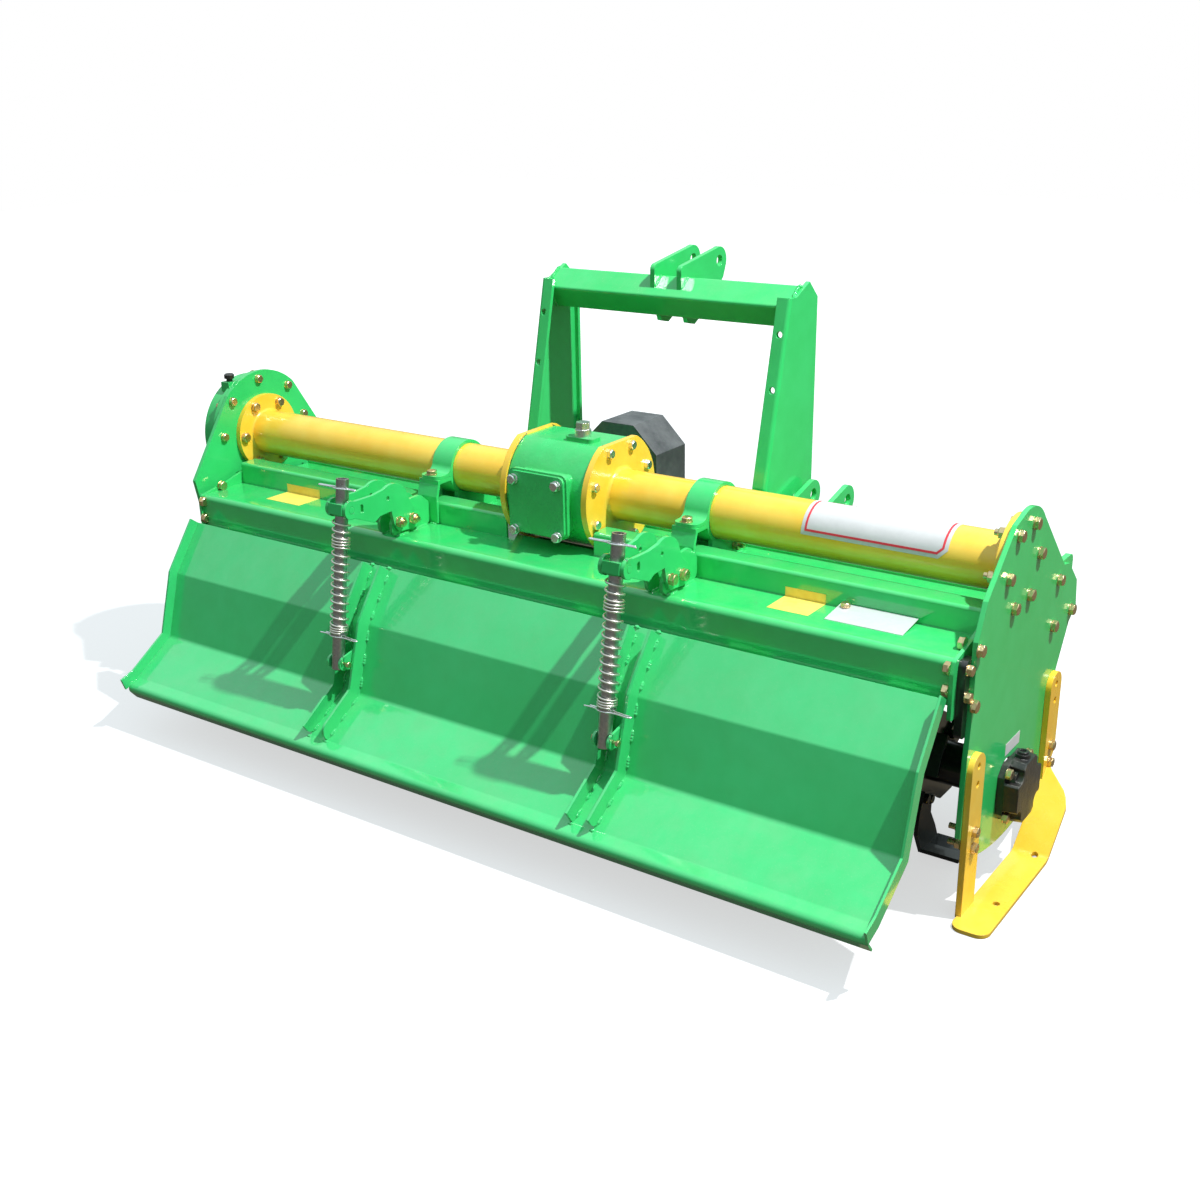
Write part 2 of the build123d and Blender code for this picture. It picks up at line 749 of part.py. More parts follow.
breather_x = -side_out - breather_from_plate
with BuildPart() as breather:
    with BuildSketch(Plane.XY.offset(breather_z)):
        with Locations((breather_x, breather_y)):
            Circle(breather_neck_r)
    extrude(amount=breather_neck_h)
    with BuildSketch(Plane.XY.offset(breather_z + breather_neck_h)):
        with Locations((breather_x, breather_y)):
            RegularPolygon(breather_cap_r, 12)
    extrude(amount=breather_cap_h)
    chamfer(breather.faces().sort_by(Axis.Z)[-1].edges(), 3)
save(breather, "breather")

# ---------------------------------------------------------------- headstock
POST_REAR = [(340, mast_top_z - 22), (244, 634), (244, beam_top_z)]
POST_FOOT = [
    (beam_front_y, beam_top_z),
    (beam_front_y, beam_foot_z),
    (beam_front_y + 28, beam_foot_z - 14),
    (post_front_y, post_front_foot_z),
]
POST_HEAD = [(post_front_y, mast_top_z - 34), (429, mast_top_z + 4), (368, mast_top_z - 23)]
flange_foot_z = post_front_foot_z + 25
for side, sign in SIDES:
    with BuildPart() as post:
        with BuildSketch(across(sign * post_x)):
            outline(*POST_REAR, *POST_FOOT, *POST_HEAD)
        extrude(amount=-sign * post_t)
        with BuildSketch(across(sign * (post_x - post_t))):
            strip(POST_REAR, 0, post_t)
        extrude(amount=-sign * (post_flange_w - post_t))
        with BuildSketch(across(sign * (post_x - post_t))):
            with Locations((post_front_y, flange_foot_z)):
                Rectangle(post_t, MAST_BEAM[2][1] - 6 - flange_foot_z, align=(Align.MAX, Align.MIN))
        extrude(amount=-sign * (post_front_flange_w - post_t))
        outer_edges = post.faces().sort_by(Axis.X)[-1 if sign > 0 else 0].edges()
        rear_edges = outer_edges.filter_by(lambda edge: edge.center().Y < POST_REAR[0][0] - 1)
        fillet(rear_edges.filter_by(lambda edge: edge.center().Z > beam_top_z + 1), post_bend)
        with BuildSketch(across(sign * (post_x - post_t))):
            outline(*MAST_BEAM)
        extrude(amount=-sign * post_x, mode=Mode.SUBTRACT)
        with BuildSketch(Plane.XZ.offset(-POST_REAR[0][0] - post_t)):
            with Locations(*[(sign * (post_x - post_hole_inset), z) for z in POST_HOLES]):
                Circle(post_hole_r)
        extrude(amount=POST_REAR[0][0] - POST_REAR[1][0] + 2 * post_t, mode=Mode.SUBTRACT)
    save(post, f"mast_post_{side}")

with BuildPart() as mast_beam:
    with BuildSketch(across(-post_x + post_t)) as section:
        outline(*MAST_BEAM)
        fillet(section.vertices(), 6)
        offset(amount=-mast_beam_wall, mode=Mode.SUBTRACT)
    extrude(amount=2 * (post_x - post_t))
save(mast_beam, "mast_beam")

with BuildPart() as top_lugs:
    for lug_x in (-lug_outer, lug_outer - lug_t):
        with BuildSketch(across(lug_x)) as section:
            outline(
                (lug_rear_y, MAST_BEAM[1][1] + 7),
                (lug_rear_y, top_link_z + 5),
                (top_link_y - 11, top_link_z + 31),
                (top_link_y + 32, top_link_z - 10),
                (top_link_y + 19, top_link_z - 41),
                (480, MAST_BEAM[2][1] + 9),
                (428, MAST_BEAM[2][1] - 18),
                (398, MAST_BEAM[2][1] - 11),
            )
            rear_corner = section.vertices().filter_by_position(Axis.Y, top_link_z, top_link_z + 10)
            fillet(rear_corner.filter_by_position(Axis.X, lug_rear_y - 1, lug_rear_y + 1), lug_corner)
            with Locations((top_link_y, top_link_z)):
                Circle(top_lug_r)
        extrude(amount=lug_t)
        with BuildSketch(across(lug_x)):
            outline(*MAST_BEAM)
            with Locations((top_link_y, top_link_z)):
                Circle(top_link_r)
        extrude(amount=lug_t, mode=Mode.SUBTRACT)
save(top_lugs, "top_link_lugs")

for side, sign in SIDES:
    with BuildPart() as lower_hitch:
        for plate_x in (hitch_x - hitch_plate_gap / 2 - hitch_t, hitch_x + hitch_plate_gap / 2):
            with BuildSketch(across(sign * plate_x)):
                outline(
                    (beam_rear_y + 20, beam_top_z),
                    (beam_rear_y + 30, beam_top_z + 22),
                    (hitch_y - 12, hitch_z + hitch_tip_r - 2),
                    (hitch_y + 25, hitch_z - hitch_tip_r + 10),
                    (beam_front_y + 28, beam_foot_z - 10),
                    (beam_front_y, beam_foot_z),
                    (beam_front_y, beam_top_z),
                )
                with Locations((hitch_y, hitch_z)):
                    Circle(hitch_tip_r)
                    Circle(hitch_r, mode=Mode.SUBTRACT)
            extrude(amount=sign * hitch_t)
    save(lower_hitch, f"lower_hitch_{side}")

# ---------------------------------------------------------------- clamps
clamp_in_r = tube_r + clamp_seat
foot_top_z = clamp_split_z + strap_t
for side, sign in SIDES:
    with BuildPart() as strap:
        with BuildSketch(across(sign * clamp_x - clamp_w / 2)) as section:
            with Locations((0, tube_z)):
                Circle(clamp_in_r + strap_t)
            with Locations((0, clamp_split_z)):
                Rectangle(2 * clamp_foot_y, strap_t, align=(Align.CENTER, Align.MIN))
            on_foot = section.vertices().filter_by_position(Axis.Y, foot_top_z - 1, foot_top_z + 1)
            fillet(on_foot.filter_by_position(Axis.X, 1 - clamp_foot_y, clamp_foot_y - 1), strap_bend)
            with Locations((0, tube_z)):
                Circle(clamp_in_r, mode=Mode.SUBTRACT)
            with Locations((0, clamp_split_z)):
                Rectangle(3 * clamp_foot_y, 2 * tube_r, align=(Align.CENTER, Align.MAX), mode=Mode.SUBTRACT)
        extrude(amount=clamp_w)
        upright = strap.edges().filter_by(Axis.Z)
        fillet(upright.filter_by(lambda edge: abs(edge.center().Y) > clamp_foot_y - 1), foot_corner)
    save(strap, f"clamp_strap_{side}")
    with BuildPart() as saddle:
        with BuildSketch(across(sign * clamp_x - clamp_w / 2)) as section:
            with Locations((0, tube_z)):
                Circle(clamp_in_r + saddle_t)
            with Locations((0, clamp_split_z)):
                Rectangle(2 * clamp_foot_y, saddle_t, align=(Align.CENTER, Align.MAX))
            with Locations((0, tube_z)):
                Circle(clamp_in_r, mode=Mode.SUBTRACT)
            with Locations((0, clamp_split_z)):
                Rectangle(3 * clamp_foot_y, 2 * tube_r, align=(Align.CENTER, Align.MIN), mode=Mode.SUBTRACT)
        extrude(amount=clamp_w)
        with BuildSketch(across(sign * clamp_x - clamp_w / 2)):
            outline(
                (leg_rear_y, hood_top_z + 2),
                (leg_rear_y, ledge_z + 12),
                (-clamp_foot_y, clamp_split_z - saddle_t),
                (-clamp_foot_y + leg_t, clamp_split_z - saddle_t),
                (ledge_rear_y, ledge_z + 10),
                (ledge_rear_y, hood_top_z + 2),
            )
        extrude(amount=clamp_w)
        for gusset_x in (clamp_x - clamp_w / 2, clamp_x + clamp_w / 2 - saddle_gusset_t):
            with BuildSketch(across(sign * gusset_x)):
                outline(
                    (ledge_front_y + 10, hood_top_z),
                    (stiffener_y - 20, hood_top_z),
                    (clamp_in_r + saddle_t - 5, clamp_split_z - saddle_t),
                    (0, tube_z - clamp_in_r - saddle_t / 2),
                    (ledge_front_y + 10, ledge_z + 25),
                )
                with Locations((0, tube_z)):
                    Circle(clamp_in_r, mode=Mode.SUBTRACT)
            extrude(amount=sign * saddle_gusset_t)
    save(saddle, f"clamp_saddle_{side}")

# ---------------------------------------------------------------- rotor
def on_circle(radius, angle):
    """The point at an angle in degrees on a circle about the rotor."""
    return (radius * cos(radians(angle)), radius * sin(radians(angle)))


blade_back_r = blade_tip_r - blade_t
blade_middle = (blade_heel + blade_toe) / 2
BLADE_SHANK = [
    (blade_root_r, -22),
    (blade_root_r + 44, -26),
    (blade_root_r + 92, -14),
    on_circle(blade_tip_r, blade_heel),
    on_circle(blade_tip_r, blade_middle),
    on_circle(blade_tip_r, blade_toe),
    (140, 80),
    (blade_root_r + 44, 38),
    (blade_root_r, 22),
]
BLADE_FOOT = [on_circle(blade_tip_r, angle) for angle in (blade_heel, blade_middle, blade_toe)]
BLADE_FOOT += [on_circle(blade_back_r, angle) for angle in (blade_toe, blade_middle, blade_heel)]
with BuildPart() as rotor:
    with BuildSketch(across(-rotor_half)):
        with Locations((0, rotor_z)):
            Circle(rotor_tube_r)
    extrude(amount=2 * rotor_half)
    for side, sign in SIDES:
        with BuildSketch(across(sign * rotor_half)):
            with Locations((0, rotor_z)):
                Circle(journal_r)
        extrude(amount=sign * (side_out + journal_in - slack - rotor_half))
    for station in ROTOR_FLANGES:
        x = station * rotor_flange_pitch
        with BuildSketch(across(x - rotor_flange_t / 2)):
            with Locations((0, rotor_z)):
                Circle(rotor_flange_r)
        extrude(amount=rotor_flange_t)
        for way in (1, -1):
            start = station * blade_helix + (60 if way > 0 else 0)
            with BuildSketch(across(x + way * rotor_flange_t / 2)):
                with Locations((0, rotor_z)):
                    with PolarLocations(0, blades_per_flange // 2, start_angle=start):
                        Polygon(*BLADE_SHANK, align=None)
            extrude(amount=way * blade_t)
            with BuildSketch(across(x + way * (rotor_flange_t / 2 + blade_t))):
                with Locations((0, rotor_z)):
                    with PolarLocations(0, blades_per_flange // 2, start_angle=start):
                        Polygon(*BLADE_FOOT, align=None)
            extrude(amount=way * blade_foot)
save(rotor, "rotor")

cap_z = rotor_z - cap_drop
with BuildPart() as bearing_cap:
    with BuildSketch(across(side_out)) as cap_rim:
        with Locations((cap_y, cap_z)):
            Rectangle(cap_rim_w, cap_rim_h)
        chamfer(cap_rim.vertices(), cap_rim_corner)
    extrude(amount=cap_rim_t)
    with BuildSketch(across(side_out + cap_rim_t)):
        with Locations((cap_y, cap_z)):
            RegularPolygon(cap_apothem, 8, major_radius=False, rotation=22.5)
    extrude(amount=cap_depth - cap_rim_t, taper=cap_taper)
    with BuildSketch(Plane.XY.offset(cap_z)):
        with Locations((side_out + cap_boss_x, cap_y)):
            Circle(cap_boss_r)
    extrude(amount=cap_boss_top)
    with BuildSketch(across(side_out + cap_rim_t)):
        with Locations(*[(cap_y + y, cap_z + z) for y, z in CAP_BOLTS]):
            Circle(cap_pocket_r)
    extrude(amount=cap_depth, mode=Mode.SUBTRACT)
    with BuildSketch(across(side_out)):
        with Locations((0, rotor_z)):
            Circle(journal_r + slack)
    extrude(amount=journal_in, mode=Mode.SUBTRACT)
save(bearing_cap, "bearing_cap")

# ---------------------------------------------------------------- skids
runner_rise = runner_front_z / (runner_front_y - runner_flat_y)
for side, sign in SIDES:
    with BuildPart() as skid:
        with BuildSketch(across(sign * side_out)):
            runner_line = [(runner_rear_y, 0), (runner_flat_y, 0), (runner_front_y, runner_front_z)]
            folded(runner_line, runner_t, runner_bend)
        extrude(amount=sign * runner_out)
        with BuildSketch(Plane.XY) as plan:
            Polygon(
                (sign * (side_out + runner_in), runner_rear_y),
                (sign * (side_out + runner_out), runner_rear_y),
                *[(sign * (side_out + x), y) for x, y in RUNNER_NOSE],
                (sign * (side_out + skid_bar_t), runner_front_y + runner_t),
                (sign * (side_out + runner_in), runner_front_y + runner_t),
                align=None,
            )
            fillet(plan.vertices().group_by(Axis.Y)[0], runner_corner)
        extrude(amount=runner_front_z + 2 * runner_t, mode=Mode.INTERSECT)
        with BuildSketch(across(sign * side_out)):
            for bar_y, bar_top in SKID_BARS:
                bar_rear, bar_front = bar_y - skid_bar_w / 2, bar_y + skid_bar_w / 2
                rear_foot, front_foot = [
                    runner_t / 2 + max(0, y - runner_flat_y) * runner_rise for y in (bar_rear, bar_front - 6)
                ]
                outline(
                    (bar_rear, rear_foot),
                    (bar_front - 6, front_foot),
                    (bar_front, front_foot + 8),
                    (bar_front, bar_top - skid_bar_w / 2),
                    (bar_rear, bar_top - skid_bar_w / 2),
                )
                with Locations((bar_y, bar_top - skid_bar_w / 2)):
                    Circle(skid_bar_w / 2)
        extrude(amount=sign * skid_bar_t)
        with BuildSketch(Plane.XY):
            with Locations(*[(sign * (side_out + runner_hole_x), y) for y in RUNNER_HOLES]):
                Circle(hole_r)
        extrude(amount=3 * runner_t, mode=Mode.SUBTRACT)
        with BuildSketch(across(sign * side_out)):
            with Locations(*[(y, top - drop) for y, top in SKID_BARS for drop in SKID_DROPS]):
                Circle(hole_r)
        extrude(amount=sign * skid_bar_t, mode=Mode.SUBTRACT)
    save(skid, f"skid_{side}")
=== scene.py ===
# %% [markdown]
# # A three-point rotary tiller, dressed
# The solid model gives every sheet, tube and casting its size and its place. This lesson adds what
# a solid model leaves out: bolts, coil springs, clips, welds and stickers, and above all the
# finishes. Everything is in metres in one frame, with +X to the machine's right, +Y forward and
# +Z up.

import bmesh
import bpy
import numpy as np
from mathutils import Matrix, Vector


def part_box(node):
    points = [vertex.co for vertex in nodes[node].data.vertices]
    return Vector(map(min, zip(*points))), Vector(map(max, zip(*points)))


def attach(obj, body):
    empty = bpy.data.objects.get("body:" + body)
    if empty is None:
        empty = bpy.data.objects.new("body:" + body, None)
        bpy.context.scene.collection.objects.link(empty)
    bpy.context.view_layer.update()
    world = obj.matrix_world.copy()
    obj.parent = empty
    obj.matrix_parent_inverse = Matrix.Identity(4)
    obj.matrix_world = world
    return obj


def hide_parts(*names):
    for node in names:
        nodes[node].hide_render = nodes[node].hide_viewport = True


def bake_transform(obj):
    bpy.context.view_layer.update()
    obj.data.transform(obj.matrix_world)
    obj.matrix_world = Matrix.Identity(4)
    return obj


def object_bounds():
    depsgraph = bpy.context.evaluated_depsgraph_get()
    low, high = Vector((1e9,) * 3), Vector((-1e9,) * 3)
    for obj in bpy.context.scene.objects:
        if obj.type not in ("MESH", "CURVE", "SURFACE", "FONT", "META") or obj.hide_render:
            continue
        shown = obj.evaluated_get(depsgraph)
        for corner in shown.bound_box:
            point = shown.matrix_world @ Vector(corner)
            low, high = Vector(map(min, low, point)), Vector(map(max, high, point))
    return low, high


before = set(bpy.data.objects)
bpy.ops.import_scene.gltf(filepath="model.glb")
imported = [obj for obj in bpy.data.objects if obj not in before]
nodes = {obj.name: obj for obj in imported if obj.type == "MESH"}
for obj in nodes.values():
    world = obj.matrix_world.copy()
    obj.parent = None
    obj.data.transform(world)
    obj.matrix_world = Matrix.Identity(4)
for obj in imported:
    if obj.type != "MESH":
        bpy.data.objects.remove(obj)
cad_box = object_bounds()

# %% [markdown]
# ## The camera
# The machine is seen from behind and to its right, from a little above. A camera could be aimed
# with a constraint, but its three directions written as the columns of a matrix say the same and
# let it roll by the degree or so that a hand-held camera has.

# %% The camera
azimuth, elevation, roll = np.radians([35.631, 20.888, -1.145])
stand = (1.861, -2.543, 1.550)
behind = np.array([np.sin(azimuth), -np.cos(azimuth), 0.0])
level = np.array([np.cos(azimuth), np.sin(azimuth), 0.0])
back = np.cos(elevation) * behind + np.sin(elevation) * np.array([0.0, 0.0, 1.0])
above = np.cross(back, level)
turned = np.eye(4)
turned[:3, 0] = np.cos(roll) * level + np.sin(roll) * above
turned[:3, 1] = np.cos(roll) * above - np.sin(roll) * level
turned[:3, 2] = back
turned[:3, 3] = stand
camera = bpy.data.objects.new("camera", bpy.data.cameras.new("camera"))
bpy.context.scene.collection.objects.link(camera)
camera.matrix_world = Matrix(turned)
camera.data.lens, camera.data.sensor_width = 43.40, 36.0
camera.data.shift_x, camera.data.shift_y = 0.0046, 0.0094
bpy.context.scene.camera = camera
bpy.context.scene.view_settings.view_transform = "Standard"
print("camera at", stand)

# %% [markdown]
# ## Light
# One key lamp stands high to the machine's right, six metres off, and it is only a hand's breadth
# wide. So it draws a crisp shadow of each rod down the board and of each bolt down its plate. The
# surroundings fill those shadows. They climb from nearly dark at the horizon to a pale, slightly
# blue light overhead, so faces that look up are filled, and faces that look back or down stay
# deep. Whatever mirrors the surroundings sees a brighter form of the same climb, which is what
# makes gloss paint look like gloss paint, and the camera sees plain white behind the machine.


# %% Lamps and surroundings
def lamp(name, place, aim, size, power, colour=(1, 1, 1)):
    """A square area light at place, turned so that its own -Z axis points at aim."""
    data = bpy.data.lights.new(name, "AREA")
    data.size, data.energy, data.color = size, power, colour
    light = bpy.data.objects.new(name, data)
    bpy.context.scene.collection.objects.link(light)
    away = np.array(place, float) - np.array(aim, float)
    away /= np.linalg.norm(away)
    side = np.cross((0, 0, 1.0), away)
    side /= np.linalg.norm(side)
    pose = np.eye(4)
    pose[:3, 0], pose[:3, 1], pose[:3, 2], pose[:3, 3] = side, np.cross(away, side), away, place
    light.matrix_world = Matrix(pose)
    print("lamp", name, power, "W")


middle = np.array([0, 0, 0.4])
key_way, key_distance, key_width = np.array([0.51, 0.07, 0.857]), 6.0, 0.12
lamp("key", middle + key_distance * key_way, middle, key_width, 475, (1.0, 0.98, 0.95))

world = bpy.data.worlds.new("surroundings")
bpy.context.scene.world = world
world.use_nodes = True
sky = world.node_tree
sky.nodes.clear()
rays = sky.nodes.new("ShaderNodeLightPath")
view = sky.nodes.new("ShaderNodeTexCoord")
parts = sky.nodes.new("ShaderNodeSeparateXYZ")
sky.links.new(view.outputs["Generated"], parts.inputs["Vector"])


full_height = 0.7


def surrounding(name, horizon, overhead):
    """A background whose colour goes straight from one at height 0 to another at full_height of 1."""
    ramp = sky.nodes.new("ShaderNodeValToRGB")
    ramp.color_ramp.elements[0].color = (*horizon, 1)
    ramp.color_ramp.elements[1].color = (*overhead, 1)
    ramp.color_ramp.elements[1].position = full_height
    sky.links.new(parts.outputs["Z"], ramp.inputs["Fac"])
    made = sky.nodes.new("ShaderNodeBackground")
    made.name = name
    sky.links.new(ramp.outputs["Color"], made.inputs["Color"])
    return made.outputs["Background"]


seen = surrounding("even", (0.040, 0.037, 0.030), (0.66, 0.80, 0.86))
mirrored = surrounding("mirrored", (0.14, 0.14, 0.12), (0.80, 0.98, 1.0))
white = surrounding("white", (1, 1, 1), (1, 1, 1))
for ray, other in (("Is Glossy Ray", mirrored), ("Is Camera Ray", white)):
    either = sky.nodes.new("ShaderNodeMixShader")
    sky.links.new(rays.outputs[ray], either.inputs[0])
    sky.links.new(seen, either.inputs[1])
    sky.links.new(other, either.inputs[2])
    seen = either.outputs["Shader"]
sky.links.new(seen, sky.nodes.new("ShaderNodeOutputWorld").inputs["Surface"])
print("surroundings", [node.name for node in sky.nodes if node.type == "BACKGROUND"])

# %% [markdown]
# ## Writing materials
# A material is a small graph, and most of the graph is the same few effects with other numbers.
# A few helpers keep the graphs readable: one adds a node and feeds its inputs, one starts a node
# group with named inputs and outputs, and the rest are the sums and noises that come back all the
# time. Each effect below is a group, built once.


# %% Graph helpers
def add(tree, kind, inputs=None, **settings):
    """Add a shader node, set its options, and feed each input from a socket or a plain value."""
    made = tree.nodes.new("ShaderNode" + kind)
    for name, value in settings.items():
        setattr(made, name, value)
    for name, value in (inputs or {}).items():
        if isinstance(value, bpy.types.NodeSocket):
            tree.links.new(value, made.inputs[name])
        else:
            made.inputs[name].default_value = value
    return made


def effect(name, inputs, outputs):
    """Start a node group. Returns its tree, the sockets of its inputs, and its output node."""
    group = bpy.data.node_groups.new(name, "ShaderNodeTree")
    for label, kind, value in inputs:
        socket = group.interface.new_socket(name=label, in_out="INPUT", socket_type="NodeSocket" + kind)
        if value is not None:
            socket.default_value = value
    for label, kind in outputs:
        group.interface.new_socket(name=label, in_out="OUTPUT", socket_type="NodeSocket" + kind)
    return group, group.nodes.new("NodeGroupInput").outputs, group.nodes.new("NodeGroupOutput").inputs


def use(tree, group, **values):
    """Place an effect in a material, with its own values."""
    return add(tree, "Group", values, node_tree=group).outputs


def scaled(tree, value, low, high, to_low, to_high):
    """Carry a value from one range to another, and stop at its ends."""
    numbers = {"Value": value, "From Min": low, "From Max": high, "To Min": to_low, "To Max": to_high}
    return add(tree, "MapRange", numbers).outputs["Result"]


def times(tree, first, second):
    """The product of two values."""
    return add(tree, "Math", {0: first, 1: second}, operation="MULTIPLY").outputs["Value"]


def plus(tree, first, second):
    """The sum of two values."""
    return add(tree, "Math", {0: first, 1: second}, operation="ADD").outputs["Value"]


def noise(tree, place, size, detail, roughness=0.5):
    """A cloudy value about 0.5, with so many clouds to the metre, each broken up detail times."""
    inputs = {"Vector": place, "Scale": size, "Detail": detail, "Roughness": roughness}
    return add(tree, "TexNoise", inputs).outputs["Fac"]


def mixed_colour(tree, share, first, second):
    """Blend two colours by a share between 0 and 1."""
    return add(tree, "Mix", {0: share, 6: first, 7: second}, data_type="RGBA").outputs[2]


# %% [markdown]
# ## Effect: uneven colour
# Sprayed enamel is never one colour. It is a little thin over edges and a little cloudy across a
# sheet, and a sheet that has stood outside is paler in patches. Two noises, one the size of a hand
# and one the size of a thumb, mix between a light and a dark form of the paint.

# %% Uneven colour
place_in = ("Place", "Vector", None)
light_in, dark_in = ("Light", "Color", None), ("Dark", "Color", None)
uneven, given, result = effect(
    "uneven_colour",
    [place_in, ("Size", "Float", 4.0), light_in, dark_in],
    [("Colour", "Color"), ("Cloud", "Float")],
)
broad = noise(uneven, given["Place"], given["Size"], 3.0)
small = noise(uneven, given["Place"], times(uneven, given["Size"], 7.0), 4.0)
cloud = plus(uneven, times(uneven, broad, 0.65), times(uneven, small, 0.35))
cloud = scaled(uneven, cloud, 0.36, 0.64, 0.0, 1.0)
uneven.links.new(mixed_colour(uneven, cloud, given["Light"], given["Dark"]), result["Colour"])
uneven.links.new(cloud, result["Cloud"])
print("effect", uneven.name)

# %% [markdown]
# ## Effect: sprayed surface
# Paint dries with the fine dimples of orange peel, over the slow waves that rolling and welding
# leave in a sheet. Dust caught in the wet paint makes a few small nibs. All three are heights, and
# a Bump node in the material turns them into a normal.

# %% Sprayed surface
sprayed, given, result = effect(
    "sprayed_surface",
    [place_in, ("Dimples", "Float", 420.0), ("Waves", "Float", 9.0), ("Nibs", "Float", 0.2)],
    [("Height", "Float")],
)
peel = noise(sprayed, given["Place"], given["Dimples"], 1.0)
wave = noise(sprayed, given["Place"], given["Waves"], 1.5)
speck = add(sprayed, "TexVoronoi", {"Vector": given["Place"], "Scale": 60.0})
nib = scaled(sprayed, speck.outputs["Distance"], 0.0, 0.09, 1.0, 0.0)
height = times(sprayed, peel, 0.16)
height = plus(sprayed, height, times(sprayed, wave, 1.6))
height = plus(sprayed, height, times(sprayed, nib, given["Nibs"]))
sprayed.links.new(height, result["Height"])
print("effect", sprayed.name)

# %% [markdown]
# ## Effect: worn edges
# Paint wears first where it stands proud. A Bevel node in the material gives the normal that a
# rounded edge would have, and this group compares it with the true normal: they differ only near
# an edge. A noise breaks the line into chips.

# %% Worn edges
worn, given, result = effect(
    "worn_edges",
    [place_in, ("Rounded", "Vector", None), ("Reach", "Float", 0.5)],
    [("Mask", "Float")],
)
true_normal = add(worn, "NewGeometry").outputs["True Normal"]
agree = add(worn, "VectorMath", {0: given["Rounded"], 1: true_normal}, operation="DOT_PRODUCT")
edge = scaled(worn, agree.outputs["Value"], 0.80, 0.995, 1.0, 0.0)
patch = scaled(worn, noise(worn, given["Place"], 34.0, 5.0, 0.7), 0.54, 0.62, 0.0, 1.0)
mask = times(worn, times(worn, edge, patch), given["Reach"])
worn.links.new(mask, result["Mask"])
print("effect", worn.name)

# %% [markdown]
# ## Effect: settled dust
# A machine that stands in a yard gathers a little pale dust on whatever faces up, thinly and in
# patches, with specks. The facing comes from the piece's own normal, so the dust turns with the
# piece.

# %% Settled dust
dusty, given, result = effect(
    "settled_dust",
    [place_in, ("Facing", "Vector", None), ("Amount", "Float", 0.15)],
    [("Mask", "Float")],
)
upward = add(dusty, "SeparateXYZ", {"Vector": given["Facing"]}).outputs["Z"]
upward = scaled(dusty, upward, 0.15, 0.95, 0.0, 1.0)
drift = scaled(dusty, noise(dusty, given["Place"], 11.0, 6.0, 0.65), 0.40, 0.72, 0.0, 1.0)
grit = scaled(dusty, noise(dusty, given["Place"], 260.0, 2.0), 0.62, 0.72, 0.0, 1.0)
both = plus(dusty, drift, times(dusty, grit, 0.5))
mask = times(dusty, times(dusty, both, upward), given["Amount"])
dusty.links.new(mask, result["Mask"])
print("effect", dusty.name)

# %% [markdown]
# ## Effect: zinc crystals
# Zinc plating and galvanising dry in patches that mirror the light a little differently. Voronoi
# cells, each with its own random grey, are those patches, and their edges stay faint.

# %% Zinc crystals
zinc, given, result = effect(
    "zinc_crystals",
    [place_in, ("Size", "Float", 160.0), light_in, dark_in],
    [("Colour", "Color"), ("Grey", "Float"), ("Height", "Float")],
)
cells = add(zinc, "TexVoronoi", {"Vector": given["Place"], "Scale": given["Size"]})
grey = add(zinc, "SeparateColor", {"Color": cells.outputs["Color"]}).outputs["Red"]
blur = noise(zinc, given["Place"], 45.0, 4.0)
grey = plus(zinc, times(zinc, grey, 0.5), times(zinc, blur, 0.5))
zinc.links.new(mixed_colour(zinc, grey, given["Light"], given["Dark"]), result["Colour"])
zinc.links.new(grey, result["Grey"])
zinc.links.new(blur, result["Height"])
print("effect", zinc.name)

# %% [markdown]
# ## Effect: cast skin
# Iron poured into sand keeps the grain of the sand, and paint only softens it. A coarse and a fine
# noise give the pits and lumps.

# %% Cast skin
cast, given, result = effect("cast_skin", [place_in, ("Grain", "Float", 130.0)], [("Height", "Float")])
lumps = noise(cast, given["Place"], 28.0, 3.0)
sand = noise(cast, given["Place"], given["Grain"], 4.0, 0.6)
cast.links.new(plus(cast, times(cast, lumps, 1.2), sand), result["Height"])
print("effect", cast.name)

# %% [markdown]
# ## Enamel
# The sheets, plates and tubes are sprayed with gloss enamel straight onto steel. The green is a
# clean mid green, darker in places on the castings, and the yellow is a warm one. On the trailing
# board the same green is given a touch more blue: that tint is painted reflection of a pale sky in
# the board's gloss. The base is a Principled shader with a clear coat, since enamel shines on top
# and scatters below. A Bevel node rounds every edge in the shading, so that folded and sawn edges
# catch the light, as a real sheet's do. Folded sheet has the clearest coat of all.


# %% Enamel
def finish(name, metallic=0.0, coat=0.0, coat_roughness=0.06, edge=0.0015):
    """Start a material: its tree, its Principled shader, Object coordinates and a rounded normal."""
    made = bpy.data.materials.new(name)
    made.use_nodes = True
    tree = made.node_tree
    shader = tree.nodes["Principled BSDF"]
    shader.inputs["Metallic"].default_value = metallic
    shader.inputs["Coat Weight"].default_value = coat
    shader.inputs["Coat Roughness"].default_value = coat_roughness
    where = add(tree, "TexCoord").outputs
    rounded = add(tree, "Bevel", {"Radius": edge}, samples=4).outputs["Normal"]
    return made, tree, shader, where, rounded


def bumped(tree, shader, height, normal, strength, distance):
    """Lead a height through a Bump node, on top of a normal, into the shader."""
    values = {"Height": height, "Normal": normal, "Strength": strength, "Distance": distance}
    tree.links.new(add(tree, "Bump", values).outputs["Normal"], shader.inputs["Normal"])


soil = (0.50, 0.47, 0.40, 1)


